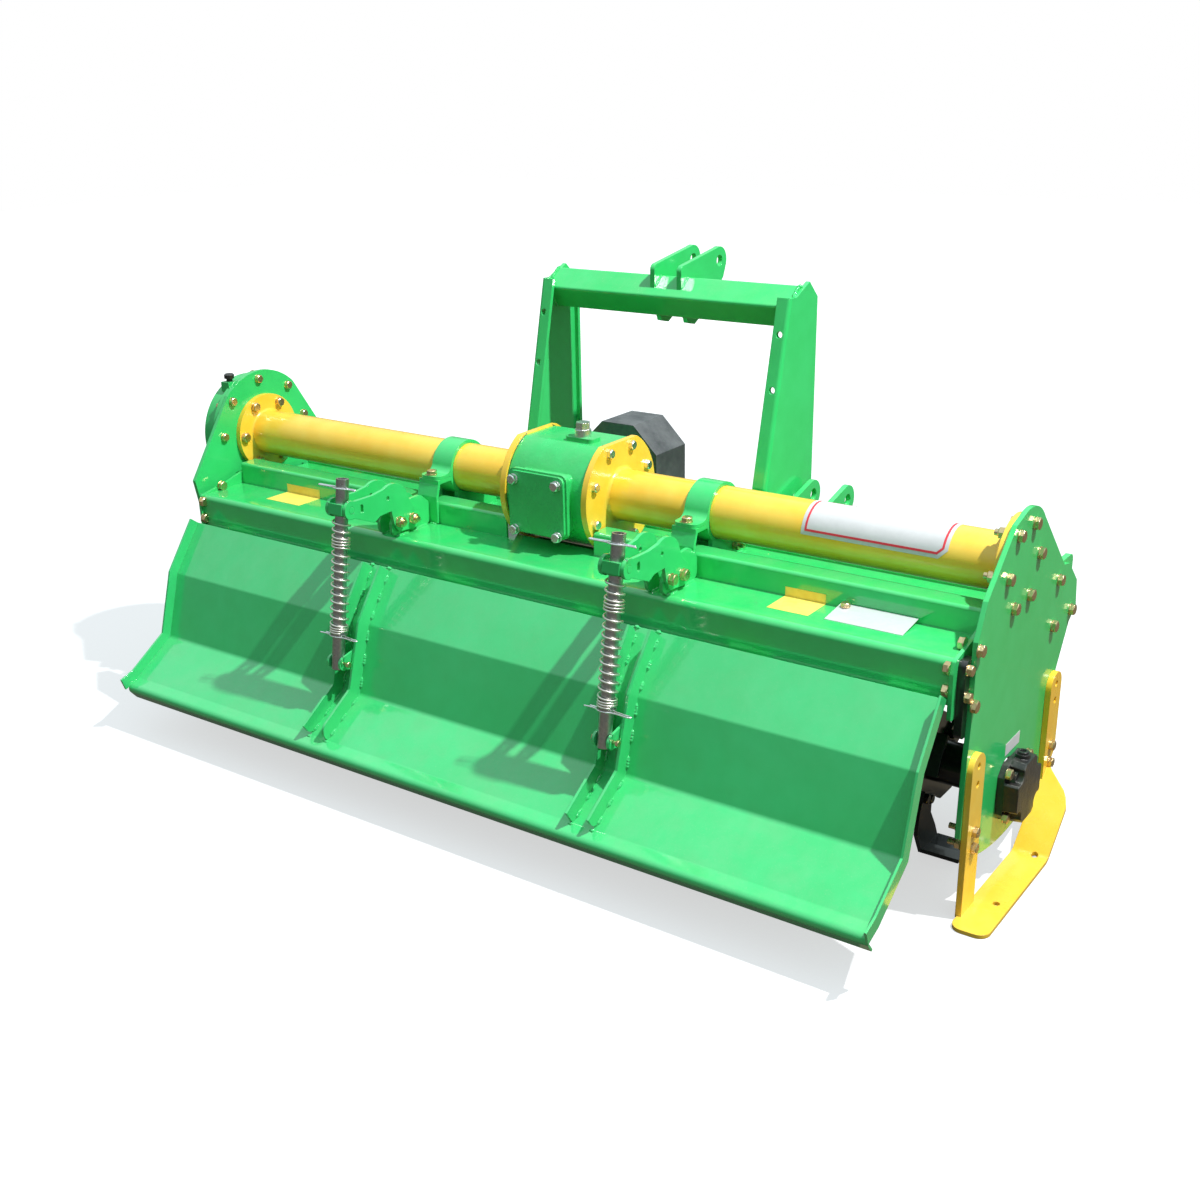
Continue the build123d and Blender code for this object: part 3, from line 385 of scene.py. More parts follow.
def enamel(name, light, dark, under, roughness, coat=0.4, dust=0.12, wear=0.35, grain=0.0, edge=0.0015):
    """Gloss enamel: light and dark forms of the paint, and the colour under it where it is worn."""
    made, tree, shader, where, rounded = finish(name, coat=coat, edge=edge)
    place = where["Object"]
    colour = use(tree, uneven, Place=place, Size=3.2, Light=light, Dark=dark)
    chips = use(tree, worn, Place=place, Rounded=rounded, Reach=wear)["Mask"]
    dirt = use(tree, dusty, Place=place, Facing=where["Normal"], Amount=dust)["Mask"]
    painted = mixed_colour(tree, chips, colour["Colour"], under)
    painted = mixed_colour(tree, dirt, painted, soil)
    tree.links.new(painted, shader.inputs["Base Color"])
    rough = scaled(tree, colour["Cloud"], 0.0, 1.0, roughness, roughness + 0.10)
    rough = plus(tree, rough, times(tree, dirt, 0.9))
    tree.links.new(plus(tree, rough, times(tree, chips, 0.2)), shader.inputs["Roughness"])
    if grain:
        bumped(tree, shader, use(tree, cast, Place=place)["Height"], rounded, grain, 0.0012)
    else:
        bumped(tree, shader, use(tree, sprayed, Place=place)["Height"], rounded, 0.22, 0.0009)
    return made


green = (0.044, 0.650, 0.180, 1), (0.032, 0.580, 0.140, 1)
# The board's colours are the green with a little more blue: that blue is painted sky reflection on its
# gloss.
green_with_painted_sheen = (0.050, 0.650, 0.205, 1), (0.038, 0.585, 0.165, 1)
casting_green = (0.044, 0.650, 0.180, 1), (0.026, 0.500, 0.115, 1)
yellow = (1.000, 0.700, 0.090, 1), (0.980, 0.570, 0.030, 1)
black = (0.016, 0.016, 0.018, 1), (0.008, 0.008, 0.009, 1)
casting_black = (0.020, 0.020, 0.021, 1), (0.008, 0.008, 0.009, 1)
steel, thin_green = (0.30, 0.29, 0.27, 1), (0.22, 0.45, 0.20, 1)
grease, thin_yellow = (0.018, 0.130, 0.040, 1), (0.75, 0.60, 0.35, 1)
green_sheet = enamel("green_sheet_enamel", *green, steel, 0.07, coat=1.0)
# The board's enamel, and its rib welds, carry that painted sky reflection in their colour.
board_sheen_painted = enamel("green_board_enamel", *green_with_painted_sheen, steel, 0.07, coat=1.0)
green_plate = enamel("green_plate_enamel", *green, thin_green, 0.10, edge=0.0022)
green_cast = enamel("green_casting_enamel", *casting_green, grease, 0.22, grain=0.5, edge=0.004)
yellow_tube = enamel("yellow_tube_enamel", *yellow, thin_yellow, 0.14, dust=0.03)
yellow_plate = enamel("yellow_plate_enamel", *yellow, steel, 0.18, dust=0.06, edge=0.0022)
black_paint = enamel("black_gloss_paint", *black, steel, 0.26, dust=0.10)
black_cast = enamel("black_casting_paint", *casting_black, steel, 0.28, grain=0.8, edge=0.004)
print("enamels", green_sheet.name, yellow_tube.name, black_paint.name)

# %% [markdown]
# ## Bare and plated metal
# The rods and springs are zinc plated, the bolts have the golden film of yellow passivation, and
# the gearbox bolts and the filler plug are bright. A real metallic surface is all reflection, so
# colour, roughness and bump carry it. The rubber-like plastic guard is the one part with no metal
# and no paint: it is a little chalky and grey from the sun.


# %% Plated metal and plastic
def plated(name, light, dark, roughness, size=160.0, edge=0.0006):
    """A plated metal: two tones in crystals, and dull patches."""
    made, tree, shader, where, rounded = finish(name, metallic=1.0, edge=edge)
    skin = use(tree, zinc, Place=where["Object"], Size=size, Light=light, Dark=dark)
    tree.links.new(skin["Colour"], shader.inputs["Base Color"])
    rough = scaled(tree, skin["Grey"], 0.2, 0.8, roughness, roughness + 0.16)
    tree.links.new(rough, shader.inputs["Roughness"])
    bumped(tree, shader, skin["Height"], rounded, 0.25, 0.0004)
    return made


zinc_rod = plated("dull_zinc", (0.58, 0.58, 0.59, 1), (0.34, 0.34, 0.35, 1), 0.27)
spring_zinc = plated("spring_zinc", (0.90, 0.86, 0.80, 1), (0.62, 0.58, 0.53, 1), 0.26, 220.0, 0.0003)
clip_zinc = plated("bright_clip_zinc", (0.93, 0.92, 0.95, 1), (0.72, 0.71, 0.76, 1), 0.24, 220.0, 0.0003)
golden = plated("golden_passivation", (0.86, 0.68, 0.40, 1), (0.60, 0.43, 0.23, 1), 0.24, 190.0)
bright = plated("bright_zinc", (0.90, 0.90, 0.90, 1), (0.66, 0.67, 0.68, 1), 0.22, 190.0)
machined = plated("machined_steel", (0.74, 0.73, 0.71, 1), (0.50, 0.49, 0.48, 1), 0.28, 120.0)

guard_plastic, tree, shader, where, rounded = finish("sun_greyed_plastic", edge=0.003)
greyed, dark_grey, chalk = (0.085, 0.092, 0.100, 1), (0.040, 0.044, 0.050, 1), (0.36, 0.37, 0.38, 1)
skin = use(tree, uneven, Place=where["Object"], Size=9.0, Light=greyed, Dark=dark_grey)
dirt = use(tree, dusty, Place=where["Object"], Facing=where["Normal"], Amount=0.30)["Mask"]
tree.links.new(mixed_colour(tree, dirt, skin["Colour"], chalk), shader.inputs["Base Color"])
tree.links.new(scaled(tree, skin["Cloud"], 0.0, 1.0, 0.38, 0.52), shader.inputs["Roughness"])
height = use(tree, cast, Place=where["Object"], Grain=420.0)["Height"]
bumped(tree, shader, height, rounded, 0.18, 0.0006)
print("metals", zinc_rod.name, golden.name, "plastic", guard_plastic.name)

# %% [markdown]
# ## Dressing the solids
# The solids already have their shapes, so each only needs its material. A table from the start of
# a node's name to a material dresses left and right alike.

# %% Dressing the solids
worn_by = [
    (green_sheet, "hood front_apron"),
    (board_sheen_painted, "trailing_board"),
    (green_plate, "hood_end side_plate front_beam strut_arms strut_bracket trunnion gear_case"),
    (green_plate, "mast_post mast_beam top_link_lugs lower_hitch clamp"),
    (green_cast, "gearbox gearbox_cover"),
    (yellow_tube, "axle_tube"),
    (yellow_plate, "skid"),
    (black_paint, "spacer_bar rotor breather"),
    (black_cast, "bearing_cap"),
    (zinc_rod, "rod hinge_rod"),
    (spring_zinc, "spring"),
    (machined, "input_shaft"),
    (bright, "filler_plug"),
    (guard_plastic, "pto_guard"),
]
dress = {start: material for material, starts in worn_by for start in starts.split()}
for name, solid in nodes.items():
    kind = max((start for start in dress if name.startswith(start)), key=len)
    for index in range(len(solid.data.materials)):
        solid.data.materials[index] = dress[kind]
print("dressed", len(nodes), "solids")

# %% [markdown]
# ## Surfaces from arrays
# Every new piece is a surface worked out with arrays: a grid of points whose place follows from
# two parameters. One helper joins the points of such a grid into four-sided faces, wrapping round
# where the surface is closed. Another gathers several grids into one mesh, merges the doubled
# points of poles and seams, and turns all faces outwards.


# %% Grids into meshes
def quads(rows, columns, around=True, closed=False):
    """Cell (i, j) joins (i, j), (i, j+1), (i+1, j+1), (i+1, j); around wraps j, closed wraps i."""
    i = np.arange(rows if closed else rows - 1)[:, None]
    j = np.arange(columns if around else columns - 1)[None, :]
    i1, j1 = (i + 1) % rows, (j + 1) % columns
    corners = np.broadcast_arrays(i * columns + j, i * columns + j1, i1 * columns + j1, i1 * columns + j)
    return np.stack(corners, axis=-1).reshape(-1, 4)


def piece(name, grids, body, material, crease=38.0):
    """One object from (points, faces) pairs, each pair's faces counting on from the points before."""
    starts = np.cumsum([0] + [len(points) for points, _ in grids[:-1]])
    points = np.concatenate([points for points, _ in grids])
    faces = np.concatenate([faces + start for (_, faces), start in zip(grids, starts)])
    mesh = bpy.data.meshes.new(name)
    mesh.from_pydata(points.tolist(), [], faces.tolist())
    shape = bmesh.new()
    shape.from_mesh(mesh)
    bmesh.ops.remove_doubles(shape, verts=shape.verts, dist=1e-6)
    bmesh.ops.recalc_face_normals(shape, faces=shape.faces)
    shape.to_mesh(mesh)
    shape.free()
    mesh.shade_smooth()
    mesh.set_sharp_from_angle(angle=np.radians(crease))
    mesh.materials.append(material)
    made = bpy.data.objects.new(name, mesh)
    bpy.context.scene.collection.objects.link(made)
    if body:
        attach(made, body)
    print(name, len(mesh.polygons), "faces")
    return made


# %% [markdown]
# ## Hex heads, nuts and studs
# A bolt head is a profile turned about its axis, except that some rows follow a hexagon instead of
# a circle. Along those rows the radius is the flat's distance divided by the cosine of the angle
# from the flat's middle. The top row is a circle a little smaller than the corners, which cuts the
# chamfer that every forged head has. Twelve points a row are enough, since a machine has hundreds
# of bolts. The same helper makes nuts, with the bolt's end standing out of them.


# %% Bolts
def turned_hex(rows, sides=12):
    """Rows are (height, radius, hexagon?): radius r, or r / cos(angle from the middle of a flat)."""
    height, radius, flat = (np.array(column, float)[:, None] for column in zip(*rows))
    angle = np.arange(sides) * 2 * np.pi / sides
    from_flat = (angle + np.pi / 6) % (np.pi / 3) - np.pi / 6
    reach = np.where(flat > 0, radius / np.cos(from_flat), radius)
    points = np.stack(np.broadcast_arrays(reach * np.cos(angle), reach * np.sin(angle), height), axis=-1)
    return points.reshape(-1, 3), quads(len(rows), sides)


washer_thick, washer_wide, chamfer_from, chamfer_to = 0.12, 1.18, 0.84, 0.92
stud_dome = 0.0015


def hex_rows(across, tall, washer=True):
    """Rows from the foot to the chamfered top, which stands at the height tall above the washer."""
    half, base = across / 2, washer_thick * across if washer else 0.0
    rim = washer_wide * half
    rows = [(0, 0, 0), (0, rim, 0), (base, rim, 0)] if washer else [(0, 0, 0)]
    rows += [(base, half, 1), (base + chamfer_from * tall, half, 1)]
    return rows + [(base + tall, chamfer_to * half, 0)]


def head(across, tall, washer=True):
    """A hex head of a width across its flats, on a flat washer, standing on height 0."""
    rows = hex_rows(across, tall, washer)
    return turned_hex(rows + [(rows[-1][0], 0, 0)])


def nut(across, tall, stud, out):
    """A nut on a washer with the threaded end of its bolt standing out."""
    rows = hex_rows(across, tall)
    top = rows[-1][0]
    return turned_hex(rows + [(top, stud, 0), (top + out, stud, 0), (top + out + stud_dome, 0, 0)])


def placed(shape, places, ways, seed=0):
    """Copies of a shape: its height points along each way, and each copy is turned by a random angle."""
    points, faces = shape
    places = np.atleast_2d(np.array(places, float))
    ways = np.broadcast_to(np.array(ways, float), places.shape)
    ways = ways / np.linalg.norm(ways, axis=1, keepdims=True)
    lean = np.where(np.abs(ways[:, 2:3]) > 0.9, [[0.0, 1.0, 0.0]], [[0.0, 0.0, 1.0]])
    side = np.cross(lean, ways)
    side /= np.linalg.norm(side, axis=1, keepdims=True)
    other = np.cross(ways, side)
    turn = np.random.default_rng(seed).uniform(0, np.pi / 3, len(places))[:, None]
    first = np.cos(turn) * side + np.sin(turn) * other
    second = np.cos(turn) * other - np.sin(turn) * side
    frames = np.stack([first, second, ways], axis=1)
    moved = np.einsum("vk,bkx->bvx", points, frames) + places[:, None, :]
    counts = np.arange(len(places))[:, None, None] * len(points)
    return moved.reshape(-1, 3), (faces[None] + counts).reshape(-1, 4)


def ring(x, y, z, radius, start, count):
    """Points on a circle about an axis along X, from a start angle in degrees measured from +Y."""
    angle = np.radians(start + np.arange(count) * 360.0 / count)
    return np.stack([np.full(count, x), y + radius * np.cos(angle), z + radius * np.sin(angle)], axis=1)


def at_x(x, pairs):
    """Points in the plane X = x, from (y, z) pairs."""
    pairs = np.array(pairs, float)
    return np.column_stack([np.full(len(pairs), x), pairs])


m14, m12, m10, m8 = 0.0215, 0.0190, 0.0165, 0.0130
stud_radius = 0.0065
in_x, out_x = (corner.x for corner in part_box("side_plate_right"))
tube_z, rotor_z = 0.650, 0.208
end_flange, beam_flange, tube_ring = 0.014, 0.012, 0.083
tube_end_x, beam_end_x = in_x - end_flange, in_x - beam_flange
right_way, left_way, up_way, rear_way = (1, 0, 0), (-1, 0, 0), (0, 0, 1), (0, -1, 0)

# %% [markdown]
# ## Bolts of the end plates
# On the right, six bolts hold the tube's end flange and three the front beam's, and two more pass
# through the hood's end plate. Their nuts and threaded ends show on the inner side. On the left the
# gear case covers the plate's outer face, so the bolts of its rim and of the tube's flange have
# their heads on the inner side. The last number of each row turns its heads at random.

# %% End plate bolts
beam_bolts = [(0.220, 0.556), (0.317, 0.462), (0.207, 0.461)]
hood_bolts = [(-0.206, 0.550), (-0.217, 0.446)]
right_start, left_start = 1.6, 58.9
plate_head, plate_nut = head(m14, 0.009), nut(m14, 0.011, stud_radius, 0.008)
grids = [
    placed(plate_head, ring(out_x, 0, tube_z, tube_ring, right_start, 6), right_way, 1),
    placed(plate_head, at_x(out_x, beam_bolts + hood_bolts), right_way, 2),
    placed(plate_nut, ring(tube_end_x, 0, tube_z, tube_ring, right_start, 6), left_way, 3),
    placed(plate_nut, at_x(beam_end_x, beam_bolts), left_way, 4),
]
piece("end_plate_bolts_right", grids, "frame", golden)

rim_angles, rim_radius = np.radians([8.0, 49.0, 93.0, 136.0, 175.0]), 0.140
rim_pairs = np.stack([rim_radius * np.cos(rim_angles), tube_z + rim_radius * np.sin(rim_angles)], axis=1)
grids = [
    placed(plate_head, ring(-tube_end_x, 0, tube_z, tube_ring, left_start, 6), right_way, 5),
    placed(head(m12, 0.008), at_x(-in_x, rim_pairs), right_way, 6),
    placed(plate_head, at_x(-beam_end_x, beam_bolts), right_way, 7),
    placed(plate_head, at_x(-out_x, beam_bolts + hood_bolts), left_way, 8),
]
piece("end_plate_bolts_left", grids, "frame", golden)

# %% [markdown]
# ## Bolts of the hood's ends, spacers and skids
# The hood's end plates are bolted to the black spacer bars, whose own two bolts show on their
# outer faces, just behind the side plates. Each skid bar has two bolts in a row of holes, so that
# the working depth can be set, and the inner ends of those bolts stand well clear of the plate.

# %% Hood end, spacer and skid bolts
hood_inner, spacer_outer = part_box("hood_end_right")[0].x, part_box("spacer_bar_right")[1].x
hood_pairs = [(-0.186, 0.549), (-0.250, 0.523), (-0.250, 0.480)]
spacer_pairs = [(-0.2265, 0.517), (-0.2265, 0.464)]
grids = []
for side in (1, -1):
    grids.append(placed(head(m14, 0.010), at_x(side * hood_inner, hood_pairs), (-side, 0, 0), 9))
    grids.append(placed(head(m12, 0.009), at_x(side * spacer_outer, spacer_pairs), (side, 0, 0), 10))
piece("hood_end_bolts", grids, "frame", golden)

skid_bar = 0.012
skid_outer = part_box("skid_right")[0].x + skid_bar
skid_pairs = [(-0.187, 0.177), (-0.187, 0.143), (0.238, 0.184), (0.238, 0.145)]
skid_nut = nut(m12, 0.010, 0.006, 0.014)
grids = []
for side in (1, -1):
    grids.append(placed(head(m12, 0.008), at_x(side * skid_outer, skid_pairs), (side, 0, 0), 11))
    grids.append(placed(skid_nut, at_x(side * in_x, skid_pairs), (-side, 0, 0), 12))
piece("skid_bolts", grids, "frame", golden)

# %% [markdown]
# ## Gearbox bolts
# Eight bright bolts hold each yellow flange to the gearbox, and four hold the cover at the back.
# The rotor's bearing cap has four golden bolts, and small ones go all round the gear case: over
# its round top, round its foot, and down the two straight sides between them.

# %% Gearbox, gear case and bearing bolts
flange_x, flange_ring, cover_x = 0.118, 0.1105, 0.058
cover_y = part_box("gearbox_cover")[0].y
cover_spots = [(side * cover_x, cover_y, z) for side in (1, -1) for z in (0.698, 0.583)]
flange_head = head(0.0185, 0.010, False)
grids = [
    placed(flange_head, ring(flange_x, 0, tube_z, flange_ring, 68.8, 8), right_way, 13),
    placed(flange_head, ring(-flange_x, 0, tube_z, flange_ring, 66.2, 8), left_way, 14),
    placed(head(0.0200, 0.011), cover_spots, rear_way, 15),
]
piece("gearbox_bolts", grids, "frame", bright)

cap_base, cap_y, cap_z = 0.015, 0.020, rotor_z - 0.022
cap_pairs = [(cap_y + y, cap_z + z) for y in (-0.054, 0.054) for z in (-0.048, 0.048)]
grids = [placed(head(m12, 0.009), at_x(out_x + cap_base, cap_pairs), right_way, 16)]
piece("bearing_cap_bolts", grids, "frame", golden)

case_rim, top_radius, foot_radius = 0.014, 0.151, 0.114
upper = np.radians(np.linspace(8, 172, 7))
lower = np.radians(np.linspace(188, 352, 6))
rim_top = np.stack([top_radius * np.cos(upper), tube_z + top_radius * np.sin(upper)], axis=1)
rim_foot = np.stack([foot_radius * np.cos(lower), rotor_z + foot_radius * np.sin(lower)], axis=1)
share = np.linspace(0.18, 0.86, 4)[:, None]
rear_side = np.array([[-top_radius, tube_z]]) * (1 - share) + np.array([[-foot_radius, rotor_z]]) * share
front_side = rear_side * [[-1, 1]]
rim = np.concatenate([rim_top, rim_foot, rear_side, front_side])
grids = [placed(head(m8, 0.006, False), at_x(-out_x - case_rim, rim), left_way, 17)]
piece("gear_case_bolts", grids, "frame", golden)

# %% [markdown]
# ## Bolts of the arms and clamps
# Each pair of strut arms is bolted through its bracket, and each clamp holds the tube with one bolt
# through either foot and is bolted to its gusset.

# %% Arm and clamp bolts
arm_pairs, gusset_pairs = [(-0.234, 0.574), (-0.190, 0.571)], [(-0.036, 0.566), (0.050, 0.566)]
arm_in, arm_out = (corner.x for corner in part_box("strut_arms_right"))
saddle_in, saddle_out = (corner.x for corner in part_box("clamp_saddle_right"))
clamp_x, clamp_y, strap_top, foot_low = 0.350, 0.099, 0.650, 0.632
arm_nut, foot_nut, gusset_nut = (nut(m14, 0.011, stud_radius, out) for out in (0.006, 0.007, 0.010))
grids = []
for side in (1, -1):
    outward, inward = (side, 0, 0), (-side, 0, 0)
    feet = np.array([(side * clamp_x, y, strap_top) for y in (-clamp_y, clamp_y)])
    grids.append(placed(head(m14, 0.010), at_x(side * arm_out, arm_pairs), outward, 18))
    grids.append(placed(arm_nut, at_x(side * arm_in, arm_pairs), inward, 18))
    grids.append(placed(plate_head, feet, up_way, 19))
    grids.append(placed(foot_nut, feet - (0, 0, strap_top - foot_low), (0, 0, -1), 20))
    grids.append(placed(gusset_nut, at_x(side * saddle_out, gusset_pairs), outward, 21))
piece("arm_and_clamp_bolts", grids, "frame", golden)

# %% [markdown]
# ## Rotor blade bolts
# Each of the rotor's nine flanges carries three blades on either face, a third of a turn apart, and
# two bolts hold each blade. From flange to flange the blades are turned a little further, so that
# they enter the soil one after another. There are over a hundred bolts, so each is only a plain
# head of a few dozen faces. They ride on the rotor.

# %% Blade bolts
flange_step, flange_twist, blade_ring, half_pair = 0.218, 17.0, 0.083, 0.15
blade_face = 0.013
station, way, turn, pair = np.meshgrid(np.arange(-4, 5), (1, -1), np.arange(3), (1, -1), indexing="ij")
blade_turn = station * flange_twist + np.where(way > 0, 60.0, 0.0) + turn * 120.0
angle = np.radians(blade_turn) + pair * half_pair
blade_y, blade_z = blade_ring * np.cos(angle), rotor_z + blade_ring * np.sin(angle)
blade_x = station * flange_step + way * blade_face
spots = np.stack([blade_x, blade_y, blade_z], axis=-1).reshape(-1, 3)
ways = np.stack([way, 0 * way, 0 * way], axis=-1).reshape(-1, 3)
piece("blade_bolts", [placed(head(m12, 0.008, False), spots, ways, 22)], "rotor", black_paint)

# %% [markdown]
# ## Coil springs
# A spring is a circle carried along a helix. The pitch isn't even: the lowest turns are closed,
# most turns are open, and three turns high up are wound close. So the height is read from the
# number of turns by straight interpolation between a few knots. The wire's own circle needs two
# directions square to it, and for a helix these are the way out from the axis, and the cross
# product of that with the way along the wire. Each spring runs between the trunnion's washer and
# the rod's, and it stands for the plain tube in the solids, which is hidden.


# %% Springs
def tube_along(path, first, radius, sides=10):
    """A circle about each point of a path, in the plane of first and its cross with the path."""
    along = np.gradient(path, axis=0)
    along /= np.linalg.norm(along, axis=1, keepdims=True)
    first = first - (first * along).sum(1, keepdims=True) * along
    first /= np.linalg.norm(first, axis=1, keepdims=True)
    second = np.cross(along, first)
    angle = (np.arange(sides) * 2 * np.pi / sides)[None, :, None]
    radius = np.broadcast_to(radius, len(path))[:, None, None]
    rings = path[:, None] + radius * (np.cos(angle) * first[:, None] + np.sin(angle) * second[:, None])
    closed_start, closed_end = np.repeat(path[:1], sides, 0), np.repeat(path[-1:], sides, 0)
    return np.concatenate([closed_start, rings.reshape(-1, 3), closed_end]), quads(len(path) + 2, sides)


def on_rod(side, distance, across=0.0, rearward=0.0):
    """A point at a distance above a rod's eye, stepped across along X and rearward from the rod."""
    distance, across, rearward = np.broadcast_arrays(distance, across, rearward)
    x = side * rod_x + across
    y = eye[0] + distance * rod_way[0] - rearward * rod_way[1]
    z = eye[1] + distance * rod_way[1] + rearward * rod_way[0]
    return np.stack([x, y, z], axis=-1)


rod_x, eye, pivot = 0.366, np.array([-0.432, 0.290]), np.array([-0.381, 0.638])
rod_length = np.linalg.norm(pivot - eye)
rod_way = (pivot - eye) / rod_length
wire, coil_radius = 0.0024, 0.0190
spring_low, spring_high = 0.068, rod_length - 0.015
turns_at = [0.0, 3.0, 12.0, 13.0, 16.0, 17.0, 19.0]
share_at = [0.0, 0.060, 0.667, 0.740, 0.815, 0.872, 1.0]
turn_steps = 32
turns = np.linspace(0, turns_at[-1], int(turns_at[-1]) * turn_steps + 1)
rise = np.interp(turns, turns_at, share_at) * (spring_high - spring_low - 2 * wire)
spin = 2 * np.pi * turns + 0.6
for side, word in ((1, "right"), (-1, "left")):
    line = on_rod(side, spring_low + wire + rise, coil_radius * np.cos(spin), coil_radius * np.sin(spin))
    outward = on_rod(side, 0, np.cos(spin), np.sin(spin)) - on_rod(side, 0)
    coil = [tube_along(line, outward, wire)]
    spring = piece("spring_wire_" + word, coil, None, spring_zinc, 180)
    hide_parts("spring_" + word)
    on_rod(side, spring_high)
    on_rod(side, spring_low)
    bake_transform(spring)

# %% [markdown]
# ## Spring clips and eye bolts
# Each rod has two clips of bent wire, one above its trunnion and one under its lower washer. A clip
# has a straight leg through the rod, an eye, and a leg that springs round the outside of the rod.
# Its line is a smooth curve through a few points, a Catmull-Rom spline, worked out for every
# stretch at once. The eye bolt joins the rod's lower eye to the board, so it rides on the board: a
# plain shank with a head at one end and a nut at the other, both turned profiles.


# %% Clips and eye bolts
def smooth(points, steps=8):
    """Catmull-Rom: each stretch between two points is a cubic whose slopes come from the neighbours."""
    points = np.array(points, float)
    ends = np.concatenate([2 * points[:1] - points[1:2], points, 2 * points[-1:] - points[-2:-1]])
    before, start, end, after = ends[:-3, None], ends[1:-2, None], ends[2:-1, None], ends[3:, None]
    t = (np.arange(steps) / steps)[None, :, None]
    curve = 2 * start + (end - before) * t + (2 * before - 5 * start + 4 * end - after) * t**2
    curve = 0.5 * (curve + (3 * start - before - 3 * end + after) * t**3)
    return np.concatenate([curve.reshape(-1, points.shape[1]), points[-1:]])


clip_line = [
    (0.040, 0.0), (0.020, 0.0), (-0.010, 0.0), (-0.030, 0.0005), (-0.044, 0.0030), (-0.056, 0.0035),
    (-0.063, 0.0075), (-0.058, 0.0120), (-0.046, 0.0110), (-0.030, 0.0100), (-0.018, 0.0120),
    (-0.010, 0.0165), (0.0, 0.0180), (0.010, 0.0160), (0.020, 0.0100), (0.032, 0.0075), (0.048, 0.0100),
]
bent = smooth(clip_line)
clip_wire, upper_hole, lower_hole = 0.0018, rod_length + 0.046, spring_low - 0.0052
shank, shank_end, nut_radius, nut_end = 0.0039, 0.0595, 0.0065, 0.0655
bolt_reach, ear_face = 0.030, 0.0093
shank_rows = [(0, 0, 0), (0.0015, 0.0036, 0), (0.0015, shank, 0), (shank_end, shank, 0)]
nut_rows = [(shank_end, nut_radius, 1), (0.0645, nut_radius, 1), (nut_end, 0.0060, 0), (nut_end, 0, 0)]
for side, word in ((1, "right"), (-1, "left")):
    upper = on_rod(side, upper_hole, bent[:, 0], bent[:, 1])
    lower = on_rod(side, lower_hole, -bent[:, 0], bent[:, 1])
    flat = np.broadcast_to(on_rod(side, 1.0) - on_rod(side, 0.0), upper.shape)
    grids = [tube_along(line, flat, clip_wire, 8) for line in (upper, lower)]
    piece("spring_clips_" + word, grids, "rod_" + word, clip_zinc, 180)
    start = np.array([[side * rod_x - bolt_reach, eye[0], eye[1]]])
    grids = [placed(turned_hex(shank_rows + nut_rows), start, right_way, 23)]
    grids.append(placed(head(m8, 0.0065), start + (ear_face, 0, 0), left_way, 24))
    piece("eye_bolt_" + word, grids, "board", golden)

# %% [markdown]
# ## Weld beads
# A hand-laid bead is a row of overlapping drops, so it is a thin round bar whose radius swells and
# shrinks every few millimetres, sunk to half its depth in the corner that it fills. The frames of
# such a machine are stitched: short beads with gaps between them. The board's ribs are stitched
# down both sides of each foot, with a short bead across either end, the brackets and clamps are
# stitched to the hood, and the headstock's beam, posts, lugs and plates have one bead a joint.


# %% Weld beads
def bead(start, end, radius=0.0032, pitch=0.0042, seed=0):
    """A bar from start to end whose radius at the way s is radius (0.86 + 0.22 |sin(pi s / pitch)|)."""
    start, end = np.array(start, float), np.array(end, float)
    length = np.linalg.norm(end - start)
    count = max(6, int(length / 0.0016))
    share = np.linspace(0, 1, count)[:, None]
    chance = np.random.default_rng(seed)
    path = start * (1 - share) + end * share + chance.normal(0, radius * 0.07, (count, 3))
    size = radius * (0.86 + 0.22 * np.abs(np.sin(np.pi * share[:, 0] * length / pitch)))
    size = size * np.clip(np.minimum(share[:, 0], 1 - share[:, 0]) * length / radius, 0.3, 1.0)
    along = (end - start) / length
    ref = np.array([1.0, 0, 0]) if abs(along[0]) < 0.8 else np.array([0, 0, 1.0])
    return tube_along(path, np.broadcast_to(ref, path.shape), size, 7)


def stitches(start, end, number, share=0.5, **choices):
    """Several beads along one line, each as long as its share of its stretch."""
    start, end = np.array(start, float), np.array(end, float)
    at = (np.arange(number) + 0.5) / number
    reach = share / number / 2
    way = end - start
    runs = [(start + way * (middle_at - reach), start + way * (middle_at + reach)) for middle_at in at]
    return [bead(*run, seed=index, **choices) for index, run in enumerate(runs)]


def along_y(x, y_from, y_to, z):
    """The two ends of a weld that runs along Y."""
    return (x, y_from, z), (x, y_to, z)


board_line = np.array([(-0.2771, 0.4674), (-0.355, 0.361), (-0.402, 0.206), (-0.513, 0.134)])
rib_faces, rib_middle, rib_half = (-0.029, -0.023, 0.023, 0.029), 0.026, 0.007
rib_bead, hood_bead = {"radius": 0.0046, "pitch": 0.0065}, {"radius": 0.0045, "pitch": 0.0062}
grids = []
for side in (1, -1):
    for off_rod in rib_faces:
        x = side * (rod_x + off_rod)
        for (y0, z0), (y1, z1) in zip(board_line, board_line[1:]):
            grids += stitches((x, y0, z0), (x, y1, z1), 3, 0.55, **rib_bead)
    for foot_x in (rod_x - rib_middle, rod_x + rib_middle):
        for tip_y, tip_z in (board_line[0] + (0.003, 0.004), board_line[-1] - (0.003, 0.002)):
            ends = [(side * (foot_x + step), tip_y, tip_z) for step in (-rib_half, rib_half)]
            grids.append(bead(*ends, 0.0052, rib_bead["pitch"], seed=8))
piece("rib_welds", grids, "board", board_sheen_painted)

